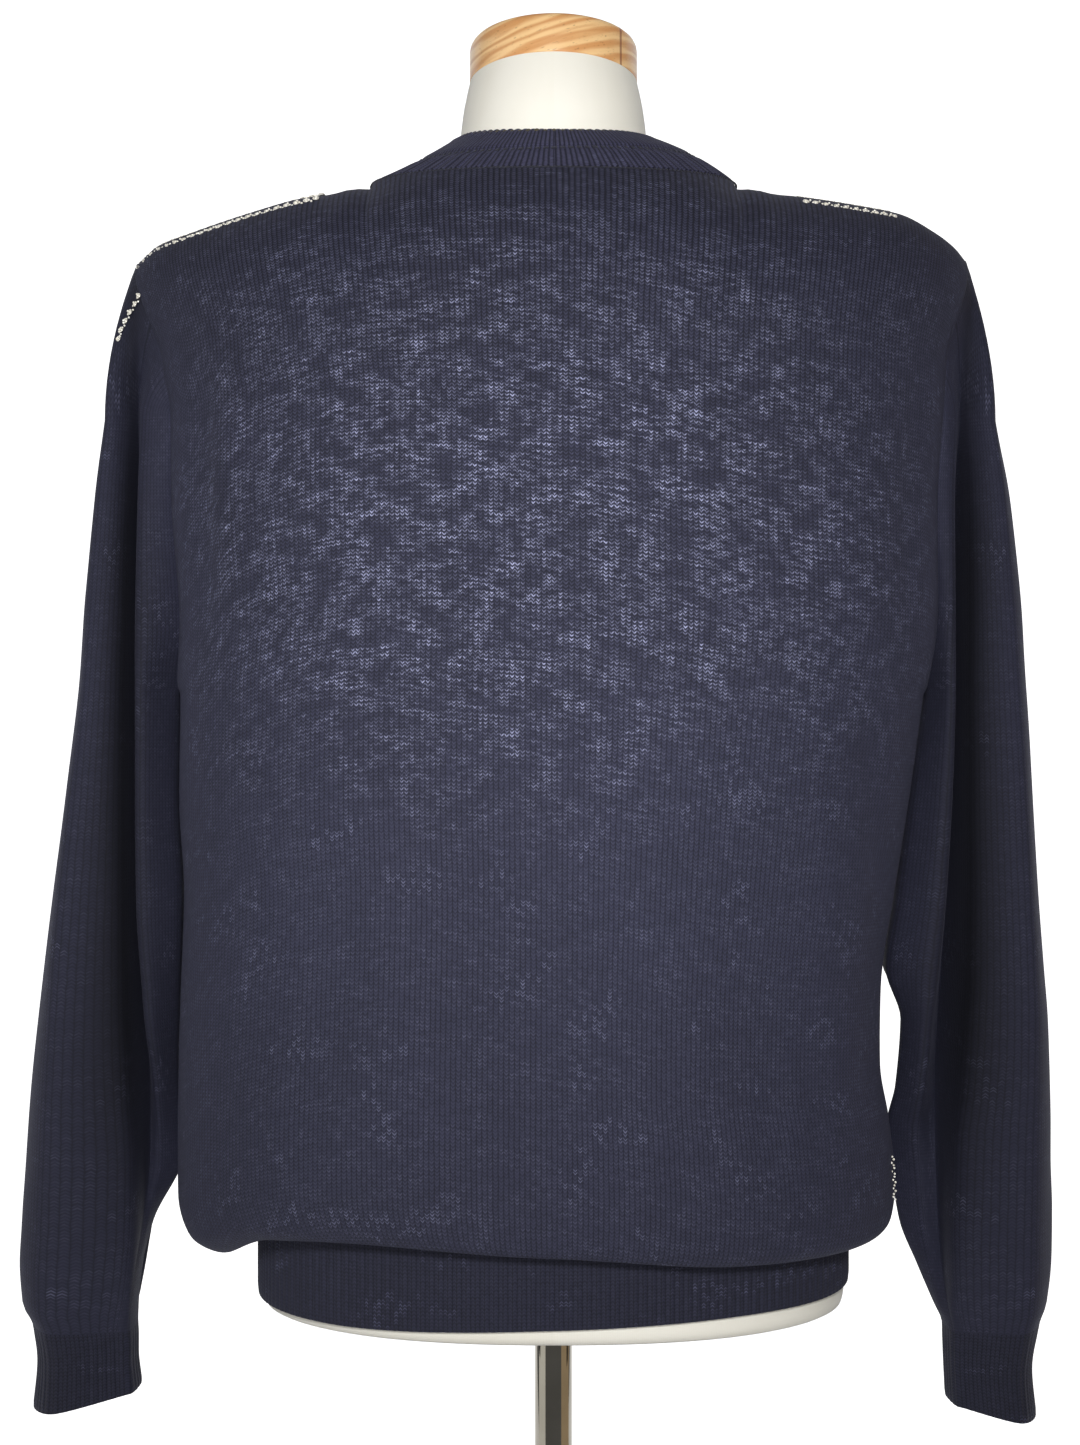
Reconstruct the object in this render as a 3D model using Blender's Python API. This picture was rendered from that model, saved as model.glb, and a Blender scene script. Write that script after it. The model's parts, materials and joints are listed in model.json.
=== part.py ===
"""Pullover sweater on a dress form: the construction, as closed solids.

Metres, +Z up. The floor is z = 0, the pole stands on the Z axis, and the
wearer faces -Y, so the photograph looks along -Y at the back. The wearer's
left is +X. Tables are in millimetres.

Each cloth piece is a wall: a plain inside surface, and an outside surface
that stands off it by the cloth's thickness and by the ribs raised on it.
"""

import math

import bmesh
import bpy
import numpy as np

MM = 0.001

# cloth
KNIT_THICK = 1.6 * MM
RIB_THICK = 1.6 * MM
RIB_HEIGHT = 0.9 * MM
SEAM_GAP = 0.4 * MM
ARMHOLE_SHIFT_X = 2.6 * MM
UNDERARM_SHIFT_X = 4.8 * MM
ARMHOLE_SHIFT_Y = 2.2 * MM

# body of the sweater, section by section along the cloth, from the hem seam
# down round the roll and up to the yoke; left and right are half widths, and
# the edges are where back and front panels end at the side or at the armhole
BODY_COLUMNS = ("height", "left", "right", "back_edge", "front_edge", "back", "front", "droop")
BODY_ROWS = (
    (846.6, 169.0, 168.4, -10, -10, 117.3, -117.3, 0.0),
    (845.8, 175.5, 174.2, -10, -10, 123.5, -124, 0.0),
    (834, 184.0, 179.5, -10, -10, 127.5, -131, 0.8),
    (824, 195.0, 186.5, -10, -10, 131.5, -135, 1.0),
    (829, 207.5, 193.0, -10, -10, 135, -138.5, 1.0),
    (850, 215.5, 196.0, -10, -10, 137, -141, 0.9),
    (880, 216.0, 192.5, -10, -10, 137, -141, 0.5),
    (910, 215.5, 187.3, -10, -10, 136, -140, 0.2),
    (950, 214.0, 188.5, -10, -10, 134, -139, 0.0),
    (1005, 212.0, 195.5, -10, -10, 131, -139, 0.0),
    (1060, 215.0, 204.0, -10, -10, 130, -142, 0.0),
    (1116, 214.5, 212.0, -10, -10, 129, -147, 0.0),
    (1124, 214.5, 213.0, 8, -28, 129, -147, 0.0),
    (1165, 212.0, 217.5, 19, -39, 128, -150, 0.0),
    (1230, 215.5, 216.0, 27, -44, 125, -147, 0.0),
    (1275, 215.5, 219.0, 29, -44, 119, -137, 0.0),
    (1300, 219.5, 220.5, 28, -42, 114, -130, 0.0),
)
UNDERARM_ROW = 12
SECTION_POWER = 2.3
SIDE_Y = -10
EDGE_POWER = 7

# how far the yoke has turned over where it meets the shoulder line and where
# it meets the neck seam, and the band of the panel where one becomes the other
SHOULDER_TURN = math.radians(88)
NECK_TURN = math.radians(62)
NECK_BLEND_FROM = 0.8
NECK_BLEND_WIDE = 0.35

# how far the roll over the hem band hangs below its row, across the back
# from the right side (-1) to the left side (+1)
DROOP_PLACE = (-1.0, -0.62, -0.3, 0.0, 0.3, 0.55, 0.78, 1.0)
DROOP_BACK = (-10, -9, -7, 0, 5, 0, -17, -22)
DROOP_FRONT = (-10, -4, -2, 0, 0, -2, -14, -20)

# shoulder line, as (distance from the middle, height), and the neck seam
LEFT_SHOULDER = (
    (105.5, 1411), (137, 1405.5), (175, 1395.2), (210, 1384), (228, 1377.5), (240, 1367.5),
)
RIGHT_SHOULDER = (
    (105.5, 1411), (131, 1406), (160, 1402), (180, 1399), (199, 1395.5), (220, 1385),
    (231, 1377), (237.5, 1369.5),
)
RIDGE_Y = -5 * MM
NECK_HALF = 105.5 * MM
NECK_HEIGHT = 1411 * MM
NECK_BACK_Y = 78 * MM
NECK_BACK_HEIGHT = 1403 * MM
NECK_FRONT_Y = -106 * MM
NECK_FRONT_HEIGHT = 1349 * MM
NECK_DIP_POWER = 1.5

# top edge of the neckband
COLLAR_HALF = 55.4 * MM
COLLAR_SIDE_HEIGHT = 1437 * MM
COLLAR_BACK_Y = 56.2 * MM
COLLAR_BACK_HEIGHT = 1428.5 * MM
COLLAR_FRONT_Y = -74 * MM
COLLAR_FRONT_HEIGHT = 1396 * MM
COLLAR_BULGE = 0.5 * MM
COLLAR_BULGE_RIGHT = 1.5 * MM
COLLAR_RIBS = 84
COLLAR_SHARES = (0.05, 0.52, 1.0)
COLLAR_EXTRA = (0, 0.4 * MM, 0.6 * MM)

# hem band
HEM_TOP = 844.5 * MM
HEM_BOTTOM = 781.5 * MM
HEM_LEFT = 168.0 * MM
HEM_RIGHT = 167.6 * MM
HEM_BACK = 116 * MM
HEM_FRONT = -116 * MM
HEM_LIFT = 9 * MM
HEM_RIBS = 188

# sleeves, section by section downwards: outer is the silhouette, lip the
# inner limit of the lobe that faces back, notch the bottom of the long fold,
# strip the lobe beside the body, inner the edge next to the body
SLEEVE_COLUMNS = (
    "height", "outer", "lip", "notch", "strip", "inner",
    "back", "dent", "tuck", "inner_y", "front", "lean",
)
LEFT_SLEEVE_ROWS = (
    (1275, 258.2, 244.5, 239.0, 232.5, 220.0, 20, 14, 22, 28, -46, 2),
    (1230, 263.0, 245.0, 240.0, 234.0, 219.5, 24, 36, 27, 26, -58, 2),
    (1165, 269.5, 246.0, 241.0, 235.0, 217.5, 27, 48, 29, 18, -68, 2),
    (1120, 274.0, 247.0, 241.0, 235.5, 218.8, 28, 52, 29, 10, -72, 2),
    (1060, 281.5, 247.0, 241.0, 235.5, 219.3, 30, 55, 29, 13, -70, 2),
    (1000, 290.0, 247.0, 240.5, 235.0, 217.0, 30, 56, 28, 14, -66, 2),
    (940, 297.5, 246.5, 239.0, 231.5, 219.0, 30, 50, 24, 8, -60, 2),
    (890, 303.0, 245.0, 236.5, 229.5, 221.0, 28, 42, 4, -8, -54, 2),
    (850, 306.0, 243.0, 237.0, 230.0, 219.5, 27, 36, -8, -18, -48, 2),
    (810, 308.3, 244.0, 240.0, 237.5, 236.4, 25, 24, -6, -16, -42, 4),
    (785, 309.5, 246.0, 243.0, 242.0, 242.0, 24, 15, 0, -12, -37, 5),
    (765, 308.5, 249.0, 244.5, 243.5, 243.5, 22, 8, 3, -8, -32, 6),
    (753, 302.5, 251.0, 245.0, 243.5, 243.5, 20, 6, 4, -6, -28, 7),
    (735, 299.3, 250.0, 245.0, 243.5, 243.5, 19, 6, 4, -6, -27, 7),
    (713.5, 301.8, 248.0, 243.0, 241.5, 241.5, 19, 6, 4, -6, -27, 7),
)
RIGHT_SLEEVE_ROWS = (
    (1275, 254.8, 239.0, 233.5, 228.0, 224.0, 20, 12, 22, 28, -46, 3),
    (1230, 262.3, 239.5, 233.0, 226.5, 220.5, 24, 34, 24, 26, -58, 3),
    (1165, 269.0, 239.5, 233.0, 227.0, 222.5, 27, 46, 24, 18, -68, 3),
    (1120, 273.0, 239.0, 232.5, 226.5, 217.5, 28, 52, 27, 10, -72, 3),
    (1060, 277.0, 239.0, 232.0, 224.0, 208.8, 30, 55, 29, 13, -70, 3),
    (1000, 280.8, 239.5, 230.5, 220.0, 200.3, 30, 56, 28, 14, -66, 4),
    (960, 284.0, 239.0, 228.5, 216.0, 194.6, 30, 54, 27, 12, -62, 7),
    (930, 286.5, 237.5, 226.0, 213.5, 202.5, 30, 50, 22, 8, -58, 12),
    (890, 288.0, 235.0, 224.0, 212.0, 201.0, 28, 44, 8, -4, -54, 12),
    (868, 288.5, 232.5, 224.5, 211.0, 198.2, 27, 40, -4, -14, -50, 6),
    (845, 288.5, 231.5, 225.0, 213.0, 200.6, 27, 37, -10, -20, -47, 4),
    (810, 288.5, 231.0, 226.0, 216.0, 205.6, 25, 32, -8, -18, -42, 4),
    (785, 288.2, 231.5, 227.0, 220.5, 215.0, 24, 24, -4, -14, -37, 5),
    (765, 286.5, 233.0, 228.5, 224.5, 223.0, 22, 12, 2, -8, -32, 6),
    (753, 282.3, 235.5, 230.5, 228.5, 228.0, 20, 6, 4, -6, -28, 7),
    (730, 277.5, 236.0, 231.5, 229.5, 229.0, 19, 6, 4, -6, -27, 7),
    (707, 280.0, 236.5, 232.5, 230.5, 230.0, 19, 6, 4, -6, -27, 7),
)
OUTER_Y = -10
LIP_BACK = 4
ROUND_WIDTH = 0.3
ROUND_FRONT = 0.85
INNER_FRONT = 0.8
MIDDLE_FRONT = 0.75
CURVE_TENSION = 0.42
UNDERARM_BLEND = 30
CAP_KNEE = 0.5

# the numbers of a sleeve section's corner points: the armhole is open from
# the first corner round to this one, and there are this many in all
OPEN_END = 8
FRAME_POINTS = 10

# cuffs, at the foot of the sleeve tables; the bottom hangs lower outside
CUFF_TOP = 753
CUFF_RIBS = 34
CUFF_SLOPE = 0.24

# dress form, section by section upwards
FORM_COLUMNS = ("height", "half", "back", "front")
FORM_ROWS = (
    (771, 161.0, 108, -108),
    (773, 165.5, 112.5, -112.5),
    (779, 166.8, 114.5, -114.5),
    (805, 166.9, 115.0, -115.0),
    (850, 165.0, 112, -114),
    (900, 155.0, 103, -112),
    (980, 131.0, 88, -98),
    (1060, 138.0, 92, -106),
    (1150, 152.0, 98, -126),
    (1205, 158.0, 98, -132),
    (1260, 162.0, 95, -116),
    (1310, 175.0, 88, -94),
    (1345, 186.0, 72, -70),
    (1366, 191.0, 52, -50),
    (1379, 186.0, 40, -40),
    (1388, 168.0, 36, -38),
    (1396, 142.0, 36, -40),
    (1403, 108.0, 38, -42),
    (1409, 80.0, 44, -48),
    (1418, 61.0, 52.5, -55),
    (1428, 54.8, 53.0, -55.5),
    (1440, 53.8, 53.4, -55),
    (1456, 51.8, 51.5, -52),
    (1471, 48.5, 48.5, -48.5),
)
NECK_TILT = math.radians(6.5)
TILT_FROM = 1408 * MM
NECK_TOP = 1471 * MM
FORM_ROUND_FROM = 900 * MM
FORM_ROUND_OVER = 450 * MM

# neck cap, pole and base
CAP_RADIUS = 48.5 * MM
CAP_HEIGHT = 24 * MM
CAP_ROUND = 5 * MM
POLE_RADIUS = 10.8 * MM
BASE_RADIUS = 160 * MM
BASE_HEIGHT = 9 * MM
BASE_EDGE = 1.5 * MM

# grid sizes
PANEL_COLUMNS = 22
PANEL_SIDE_SHARE = 0.32
SHOULDER_STEPS = 5
SLEEVE_COLUMNS_OPEN = 24
SLEEVE_COLUMNS_INNER = 4
CAP_STEPS = 4
FORM_SEGMENTS = 32
LOOP_POINTS = 240
CUFF_LOOP_POINTS = 120
CAP_SEGMENTS = 40
POLE_SEGMENTS = 24
BASE_SEGMENTS = 48

MATERIALS = {
    "navy knit": ((0.034, 0.036, 0.062), 0.85, 0.0),
    "navy rib": ((0.028, 0.030, 0.050), 0.85, 0.0),
    "ivory jersey": ((0.80, 0.78, 0.70), 0.7, 0.0),
    "pine": ((0.80, 0.48, 0.21), 0.5, 0.0),
    "chrome": ((0.8, 0.8, 0.8), 0.12, 1.0),
    "painted steel": ((0.75, 0.75, 0.73), 0.4, 0.0),
}


def clear_scene():
    for thing in list(bpy.data.objects):
        bpy.data.objects.remove(thing, do_unlink=True)


def make_material(name):
    colour, roughness, metallic = MATERIALS[name]
    material = bpy.data.materials.new(name)
    material.use_nodes = True
    shader = material.node_tree.nodes["Principled BSDF"]
    shader.inputs["Base Color"].default_value = (*colour, 1.0)
    shader.inputs["Roughness"].default_value = roughness
    shader.inputs["Metallic"].default_value = metallic
    return material


def smooth(places, values, at):
    """Values at the given places of a smooth curve that never overshoots."""
    places = np.asarray(places, dtype=float)
    values = np.asarray(values, dtype=float)
    slope = np.diff(values) / np.diff(places)
    product = slope[1:] * slope[:-1]
    total = np.where(product > 0, slope[1:] + slope[:-1], 1.0)
    inner = np.where(product > 0, 2 * product / total, 0.0)
    tangent = np.concatenate(([slope[0]], inner, [slope[-1]]))
    at = np.clip(at, places[0], places[-1])
    index = np.clip(np.searchsorted(places, at) - 1, 0, len(places) - 2)
    width = places[index + 1] - places[index]
    part = (at - places[index]) / width
    rise = values[index + 1] - values[index]
    return (
        values[index]
        + rise * part * part * (3 - 2 * part)
        + width * part * (1 - part) * ((1 - part) * tangent[index] - part * tangent[index + 1])
    )


def table_value(rows, names, name, at, by=None):
    """A column of a table at a row number, or at a value of the column `by`."""
    data = np.array(rows, dtype=float)
    values = data[:, names.index(name)]
    if by is None:
        return smooth(np.arange(len(data)), values, at)
    places = data[:, names.index(by)]
    order = np.argsort(places)
    return smooth(places[order], values[order], at)


def ease(part):
    part = min(1.0, max(0.0, part))
    return part * part * (3 - 2 * part)


def across(place):
    """Share of the half width and of the depth at a place from -1 to 1."""
    angle = place * math.pi / 2
    wide = np.sign(angle) * np.abs(np.sin(angle)) ** (2 / SECTION_POWER)
    deep = np.abs(np.cos(angle)) ** (2 / SECTION_POWER)
    return wide, deep


def body_value(name, row):
    return table_value(BODY_ROWS, BODY_COLUMNS, name, row)


def section_point(place, row, facing):
    """A point of the body's section; facing is 1 for the back, -1 the front."""
    wide, deep = across(place)
    half = body_value("left" if place > 0 else "right", row)
    edge = body_value("back_edge" if facing > 0 else "front_edge", row) - SIDE_Y
    middle = body_value("back" if facing > 0 else "front", row) - SIDE_Y
    droop = smooth(DROOP_PLACE, DROOP_BACK if facing > 0 else DROOP_FRONT, place)
    height = body_value("height", row) + body_value("droop", row) * droop
    y = SIDE_Y + middle * deep + edge * abs(place) ** EDGE_POWER
    return np.array([half * wide, y, height]) * MM


def neck_place(side):
    """The place across the panel where the neck seam meets the shoulder."""
    share = NECK_HALF / tip_half(side)
    return math.asin(share ** (SECTION_POWER / 2)) * 2 / math.pi


def shoulder_line(side):
    return np.array(LEFT_SHOULDER if side > 0 else RIGHT_SHOULDER) * MM


def tip_half(side):
    return shoulder_line(side)[-1][0]


def top_point(place, facing):
    """The shoulder line, or the neck seam near the middle."""
    line = shoulder_line(place)
    corner = neck_place(place)
    x = tip_half(place) * abs(across(place)[0])
    if abs(place) >= corner:
        y = RIDGE_Y
        z = smooth(line[:, 0], line[:, 1], x)
    else:
        bow = math.sqrt(max(0.0, 1 - (x / NECK_HALF) ** 2))
        low_y = NECK_BACK_Y if facing > 0 else NECK_FRONT_Y
        low_z = NECK_BACK_HEIGHT if facing > 0 else NECK_FRONT_HEIGHT
        y = RIDGE_Y + (low_y - RIDGE_Y) * bow
        z = NECK_HEIGHT + (low_z - NECK_HEIGHT) * bow ** NECK_DIP_POWER
    return np.array([math.copysign(x, place), y, z])


def panel_point(place, step, facing):
    """A point of a body panel; step runs 0 to 1 to the yoke, then 1 to 2."""
    last = len(BODY_ROWS) - 1
    if step <= 1:
        return section_point(place, step * last, facing)
    start = section_point(place, last, facing)
    end = top_point(place, facing)
    corner = neck_place(place)
    past_neck = (abs(place) / corner - NECK_BLEND_FROM) / NECK_BLEND_WIDE
    end_angle = NECK_TURN + (SHOULDER_TURN - NECK_TURN) * ease(past_neck)
    angle = (step - 1) * end_angle
    rise = math.sin(angle) / math.sin(end_angle)
    turn = (1 - math.cos(angle)) / (1 - math.cos(end_angle))
    x = start[0] + (end[0] - start[0]) * ease(rise)
    y = start[1] + (end[1] - start[1]) * turn
    z = start[2] + (end[2] - start[2]) * rise
    return np.array([x, y, z])


def panel_steps():
    low = np.linspace(0, 1, len(BODY_ROWS))
    high = np.linspace(1, 2, SHOULDER_STEPS + 1)[1:]
    return np.concatenate((low, high))


def panel_places(count):
    """Places across a panel, with one on each neck corner and each edge."""
    outer = round(count * PANEL_SIDE_SHARE)
    left = neck_place(1)
    right = neck_place(-1)
    return np.concatenate((
        np.linspace(-1, -right, outer + 1),
        np.linspace(-right, left, count - 2 * outer + 1)[1:-1],
        np.linspace(left, 1, outer + 1),
    ))


def grid_faces(rows, columns, closed=False, start=0):
    faces = []
    span = columns if closed else columns - 1
    for row in range(rows - 1):
        for column in range(span):
            after = (column + 1) % columns
            low = start + row * columns
            high = low + columns
            faces.append((low + column, low + after, high + after, high + column))
    return faces


def point_normals(points, faces):
    normals = np.zeros_like(points)
    for face in faces:
        corners = points[list(face)]
        flow = np.cross(corners[2] - corners[0], corners[-1] - corners[1])
        for index in face:
            normals[index] += flow
    length = np.linalg.norm(normals, axis=1, keepdims=True)
    return normals / np.maximum(length, 1e-12)


def open_edges(faces):
    seen = {}
    for face in faces:
        for first, second in zip(face, face[1:] + face[:1]):
            if (second, first) in seen:
                del seen[(second, first)]
            else:
                seen[(first, second)] = True
    return list(seen)


def build_object(name, points, faces, material):
    mesh = bpy.data.meshes.new(name)
    mesh.from_pydata([tuple(point) for point in points], [], faces)
    mesh.validate()
    mesh.materials.append(material)
    thing = bpy.data.objects.new(name, mesh)
    bpy.context.scene.collection.objects.link(thing)
    return thing


def build_wall(name, inside, faces, thick, material):
    """A closed wall: the inside surface, and an outside that stands off it."""
    outside = inside + point_normals(inside, faces) * thick.reshape(-1, 1)
    count = len(inside)
    skins = [tuple(index + count for index in face) for face in faces]
    skins += [tuple(reversed(face)) for face in faces]
    for first, second in open_edges(faces):
        skins.append((second + count, first + count, first, second))
    return build_object(name, np.concatenate((inside, outside)), skins, material)


def add_panel(name, facing, material):
    places = panel_places(PANEL_COLUMNS)
    points = []
    for step in panel_steps():
        for place in places:
            points.append(panel_point(place, step, facing))
    points = np.array(points)
    points[:, 1] += facing * SEAM_GAP / 2
    columns = len(places)
    faces = grid_faces(len(points) // columns, columns)
    if facing > 0:
        faces = [tuple(reversed(face)) for face in faces]
    thick = np.full(len(points), KNIT_THICK)
    return build_wall(name, points, faces, thick, material)


def sleeve_value(rows, name, height):
    return table_value(rows, SLEEVE_COLUMNS, name, height, by="height")


def sleeve_frame(rows, height):
    """Corner points of a sleeve's section, from the back seam round to it."""
    value = {name: sleeve_value(rows, name, height) for name in SLEEVE_COLUMNS}
    width = value["outer"] - value["lip"]
    front = value["front"]
    inner = value["inner"]
    return np.array([
        (inner, value["inner_y"]),
        (value["strip"], value["tuck"]),
        (value["notch"], value["back"] - value["dent"]),
        (value["lip"], value["back"] - LIP_BACK),
        (value["outer"] - ROUND_WIDTH * width, value["back"]),
        (value["outer"], OUTER_Y),
        (value["outer"] - ROUND_WIDTH * width, front * ROUND_FRONT),
        (value["lip"], front),
        (inner + value["lean"], front * INNER_FRONT),
        (inner + value["lean"] / 3, (front * MIDDLE_FRONT + value["inner_y"]) / 2),
    ]) * MM


def curve_through(corners, at):
    """Points at the given corner numbers of a closed curve through corners."""
    count = len(corners)
    index = np.floor(at).astype(int)
    part = (at - index).reshape(-1, 1)
    before = corners[(index - 1) % count]
    first = corners[index % count]
    second = corners[(index + 1) % count]
    after = corners[(index + 2) % count]
    start = (second - before) * CURVE_TENSION
    end = (after - first) * CURVE_TENSION
    return (
        first
        + (second - first) * part * part * (3 - 2 * part)
        + part * (1 - part) * ((1 - part) * start - part * end)
    )


def armhole_edge(side, height, facing):
    """The body panel's edge at the armhole, as (x, y)."""
    rows = BODY_ROWS[UNDERARM_ROW:]
    half = "left" if side > 0 else "right"
    edge = "back_edge" if facing > 0 else "front_edge"
    x = table_value(rows, BODY_COLUMNS, half, height, by="height") * MM
    y = table_value(rows, BODY_COLUMNS, edge, height, by="height") * MM
    return x, y


def sleeve_section(side, rows, height, at):
    """Points of a sleeve's section, joined to the armhole above the underarm."""
    corners = sleeve_frame(rows, height)
    underarm = BODY_ROWS[UNDERARM_ROW][0]
    if height >= underarm:
        back_x, back_y = armhole_edge(side, height, 1)
        front_x, front_y = armhole_edge(side, height, -1)
        near = ease((height - underarm) / UNDERARM_BLEND)
        shift = UNDERARM_SHIFT_X + (ARMHOLE_SHIFT_X - UNDERARM_SHIFT_X) * near
        corners[0] = (back_x + shift, back_y - ARMHOLE_SHIFT_Y)
        corners[OPEN_END] = (front_x + shift, front_y + ARMHOLE_SHIFT_Y)
        corners[OPEN_END + 1] = (corners[0] + corners[OPEN_END]) / 2
    flat = curve_through(corners, at)
    points = np.empty((len(at), 3))
    points[:, 0] = side * flat[:, 0]
    points[:, 1] = flat[:, 1]
    points[:, 2] = height * MM
    return points


def armhole_arc(side, count):
    """The seam over the shoulder, from the back edge to the front edge."""
    last = len(BODY_ROWS) - 1
    steps = [(last - 1) / last] + list(panel_steps()[last:])
    back = [panel_point(side, step, 1) for step in steps]
    front = [panel_point(side, step, -1) for step in steps]
    line = np.array(back[:-1] + front[::-1])
    run = np.concatenate(([0], np.cumsum(np.linalg.norm(np.diff(line, axis=0), axis=1))))
    at = np.linspace(0, run[-1], count)
    points = np.stack([np.interp(at, run, line[:, axis]) for axis in range(3)], axis=1)
    points[:, 0] += side * ARMHOLE_SHIFT_X
    return points


def sleeve_rows(side, rows):
    """Rows of points down a sleeve: open above the underarm, closed below.

    The cap's rows curve from the seam over the shoulder into the first row of
    the table; below it the rows stand at the heights of the body's own rows,
    so the two pieces follow each other down the armhole.
    """
    at = np.linspace(0, OPEN_END, SLEEVE_COLUMNS_OPEN + 1)
    inner_at = np.linspace(OPEN_END, FRAME_POINTS, SLEEVE_COLUMNS_INNER + 1)[1:-1]
    around = np.concatenate((at, inner_at))
    top = rows[0][0]
    underarm = BODY_ROWS[UNDERARM_ROW][0]
    cap_end = sleeve_section(side, rows, top, at)
    arc = armhole_arc(side, len(at))
    arc[0] = cap_end[0]
    arc[-1] = cap_end[-1]
    knee = cap_end.copy()
    knee[:, 2] += (arc[:, 2] - cap_end[:, 2]) * CAP_KNEE
    open_rows = []
    for step in np.linspace(0, 1, CAP_STEPS + 1)[:-1]:
        rest = 1 - step
        open_rows.append(rest * rest * arc + 2 * step * rest * knee + step * step * cap_end)
    armhole = [row[0] for row in BODY_ROWS[UNDERARM_ROW + 1:] if row[0] <= top]
    for height in armhole[::-1]:
        open_rows.append(sleeve_section(side, rows, height, at))
    closed_rows = []
    heights = [row[0] for row in rows if CUFF_TOP <= row[0] < underarm - UNDERARM_BLEND]
    for height in [underarm] + heights:
        closed_rows.append(sleeve_section(side, rows, height, around))
    return open_rows, closed_rows


def add_sleeve(name, side, rows, material):
    open_rows, closed_rows = sleeve_rows(side, rows)
    columns = len(open_rows[0])
    points = np.concatenate(open_rows + closed_rows)
    start = len(open_rows) * columns
    faces = grid_faces(len(open_rows) + 1, columns)
    around = len(closed_rows[0])
    faces += grid_faces(len(closed_rows), around, closed=True, start=start)
    if side < 0:
        faces = [tuple(reversed(face)) for face in faces]
    thick = np.full(len(points), KNIT_THICK)
    return build_wall(name, points, faces, thick, material)


def even_ring(ring, count):
    """The same closed ring, with points an even distance apart."""
    loop = np.concatenate((ring, ring[:1]))
    step = np.linalg.norm(np.diff(loop, axis=0), axis=1)
    run = np.concatenate(([0], np.cumsum(step)))
    at = np.arange(count) * run[-1] / count
    return np.stack([np.interp(at, run, loop[:, axis]) for axis in range(3)], axis=1)


def add_ribbed(name, rings, ribs, extra, material, flip=False):
    """A ribbed tube through rings; every second column is a raised rib."""
    columns = 2 * ribs
    points = np.concatenate([even_ring(ring, columns) for ring in rings])
    faces = grid_faces(len(rings), columns, closed=True)
    if flip:
        faces = [tuple(reversed(face)) for face in faces]
    rib = np.tile(np.arange(columns) % 2 * RIB_HEIGHT, len(rings))
    thick = RIB_THICK + rib + np.repeat(extra, columns)
    return build_wall(name, points, faces, thick, material)


def add_cuff(name, side, rows, material):
    at = np.linspace(0, FRAME_POINTS, CUFF_LOOP_POINTS, endpoint=False)
    bottom = rows[-1][0]
    rings = []
    for share in (0.0, 1.0):
        height = CUFF_TOP - 2 * SEAM_GAP / MM + (bottom - CUFF_TOP) * share
        ring = sleeve_section(side, rows, height, at)
        outward = np.abs(ring[:, 0]) - np.abs(ring[:, 0]).mean()
        ring[:, 2] -= CUFF_SLOPE * share * outward
        rings.append(ring)
    return add_ribbed(name, rings, CUFF_RIBS, (0, 0), material, flip=side < 0)


def neck_loop(half, side_height, back, front):
    """A loop round the neck; back and front are (y, height) at the middle."""
    angles = np.linspace(0, 2 * math.pi, LOOP_POINTS, endpoint=False)
    bow = np.abs(np.cos(angles))
    low_y = np.where(np.cos(angles) > 0, back[0], front[0])
    low_z = np.where(np.cos(angles) > 0, back[1], front[1])
    return np.stack([
        half * np.sin(angles),
        RIDGE_Y + (low_y - RIDGE_Y) * bow,
        side_height + (low_z - side_height) * bow ** NECK_DIP_POWER,
    ], axis=1)


def add_neckband(material):
    seam = neck_loop(
        NECK_HALF, NECK_HEIGHT,
        (NECK_BACK_Y, NECK_BACK_HEIGHT), (NECK_FRONT_Y, NECK_FRONT_HEIGHT),
    )
    edge = neck_loop(
        COLLAR_HALF, COLLAR_SIDE_HEIGHT,
        (COLLAR_BACK_Y, COLLAR_BACK_HEIGHT), (COLLAR_FRONT_Y, COLLAR_FRONT_HEIGHT),
    )
    outward = (seam - edge) * (1, 1, 0)
    outward /= np.linalg.norm(outward, axis=1, keepdims=True)
    outward[:, 2] = 1.0
    lean = seam[:, :1] / NECK_HALF
    rings = []
    for share in COLLAR_SHARES:
        bulge = (COLLAR_BULGE - COLLAR_BULGE_RIGHT * lean) * 4 * share * (1 - share)
        rings.append(seam + (edge - seam) * share + outward * bulge)
    return add_ribbed("neckband", rings, COLLAR_RIBS, COLLAR_EXTRA, material, flip=True)


def hem_ring(height, share):
    places = np.linspace(-1, 1, LOOP_POINTS // 2 + 1)
    points = []
    for facing in (1, -1):
        middle = HEM_BACK if facing > 0 else HEM_FRONT
        for place in places[:-1] * facing:
            wide, deep = across(place)
            half = HEM_LEFT if place > 0 else HEM_RIGHT
            lift = HEM_LIFT * share * ease(0.5 - place)
            points.append((half * wide, middle * deep, height + lift))
    return np.array(points)


def add_hem_band(material):
    rings = [hem_ring(HEM_TOP, 0), hem_ring(HEM_BOTTOM, 1)]
    return add_ribbed("hem_band", rings, HEM_RIBS, (0, 0), material)


def form_ring(row):
    angles = np.arange(FORM_SEGMENTS) * 2 * math.pi / FORM_SEGMENTS
    size = {name: value * MM for name, value in zip(FORM_COLUMNS, row)}
    height = size["height"]
    roundness = ease((height - FORM_ROUND_FROM) / FORM_ROUND_OVER)
    power = 2 / (SECTION_POWER + (2 - SECTION_POWER) * roundness)
    wide = np.sign(np.sin(angles)) * np.abs(np.sin(angles)) ** power
    deep = np.sign(np.cos(angles)) * np.abs(np.cos(angles)) ** power
    y = np.where(deep > 0, size["back"], -size["front"]) * deep
    share = min(1.0, max(0.0, (height - TILT_FROM) / (NECK_TOP - TILT_FROM)))
    z = height + math.tan(NECK_TILT) * share * y
    return np.stack([size["half"] * wide, y, z], axis=1)


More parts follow.
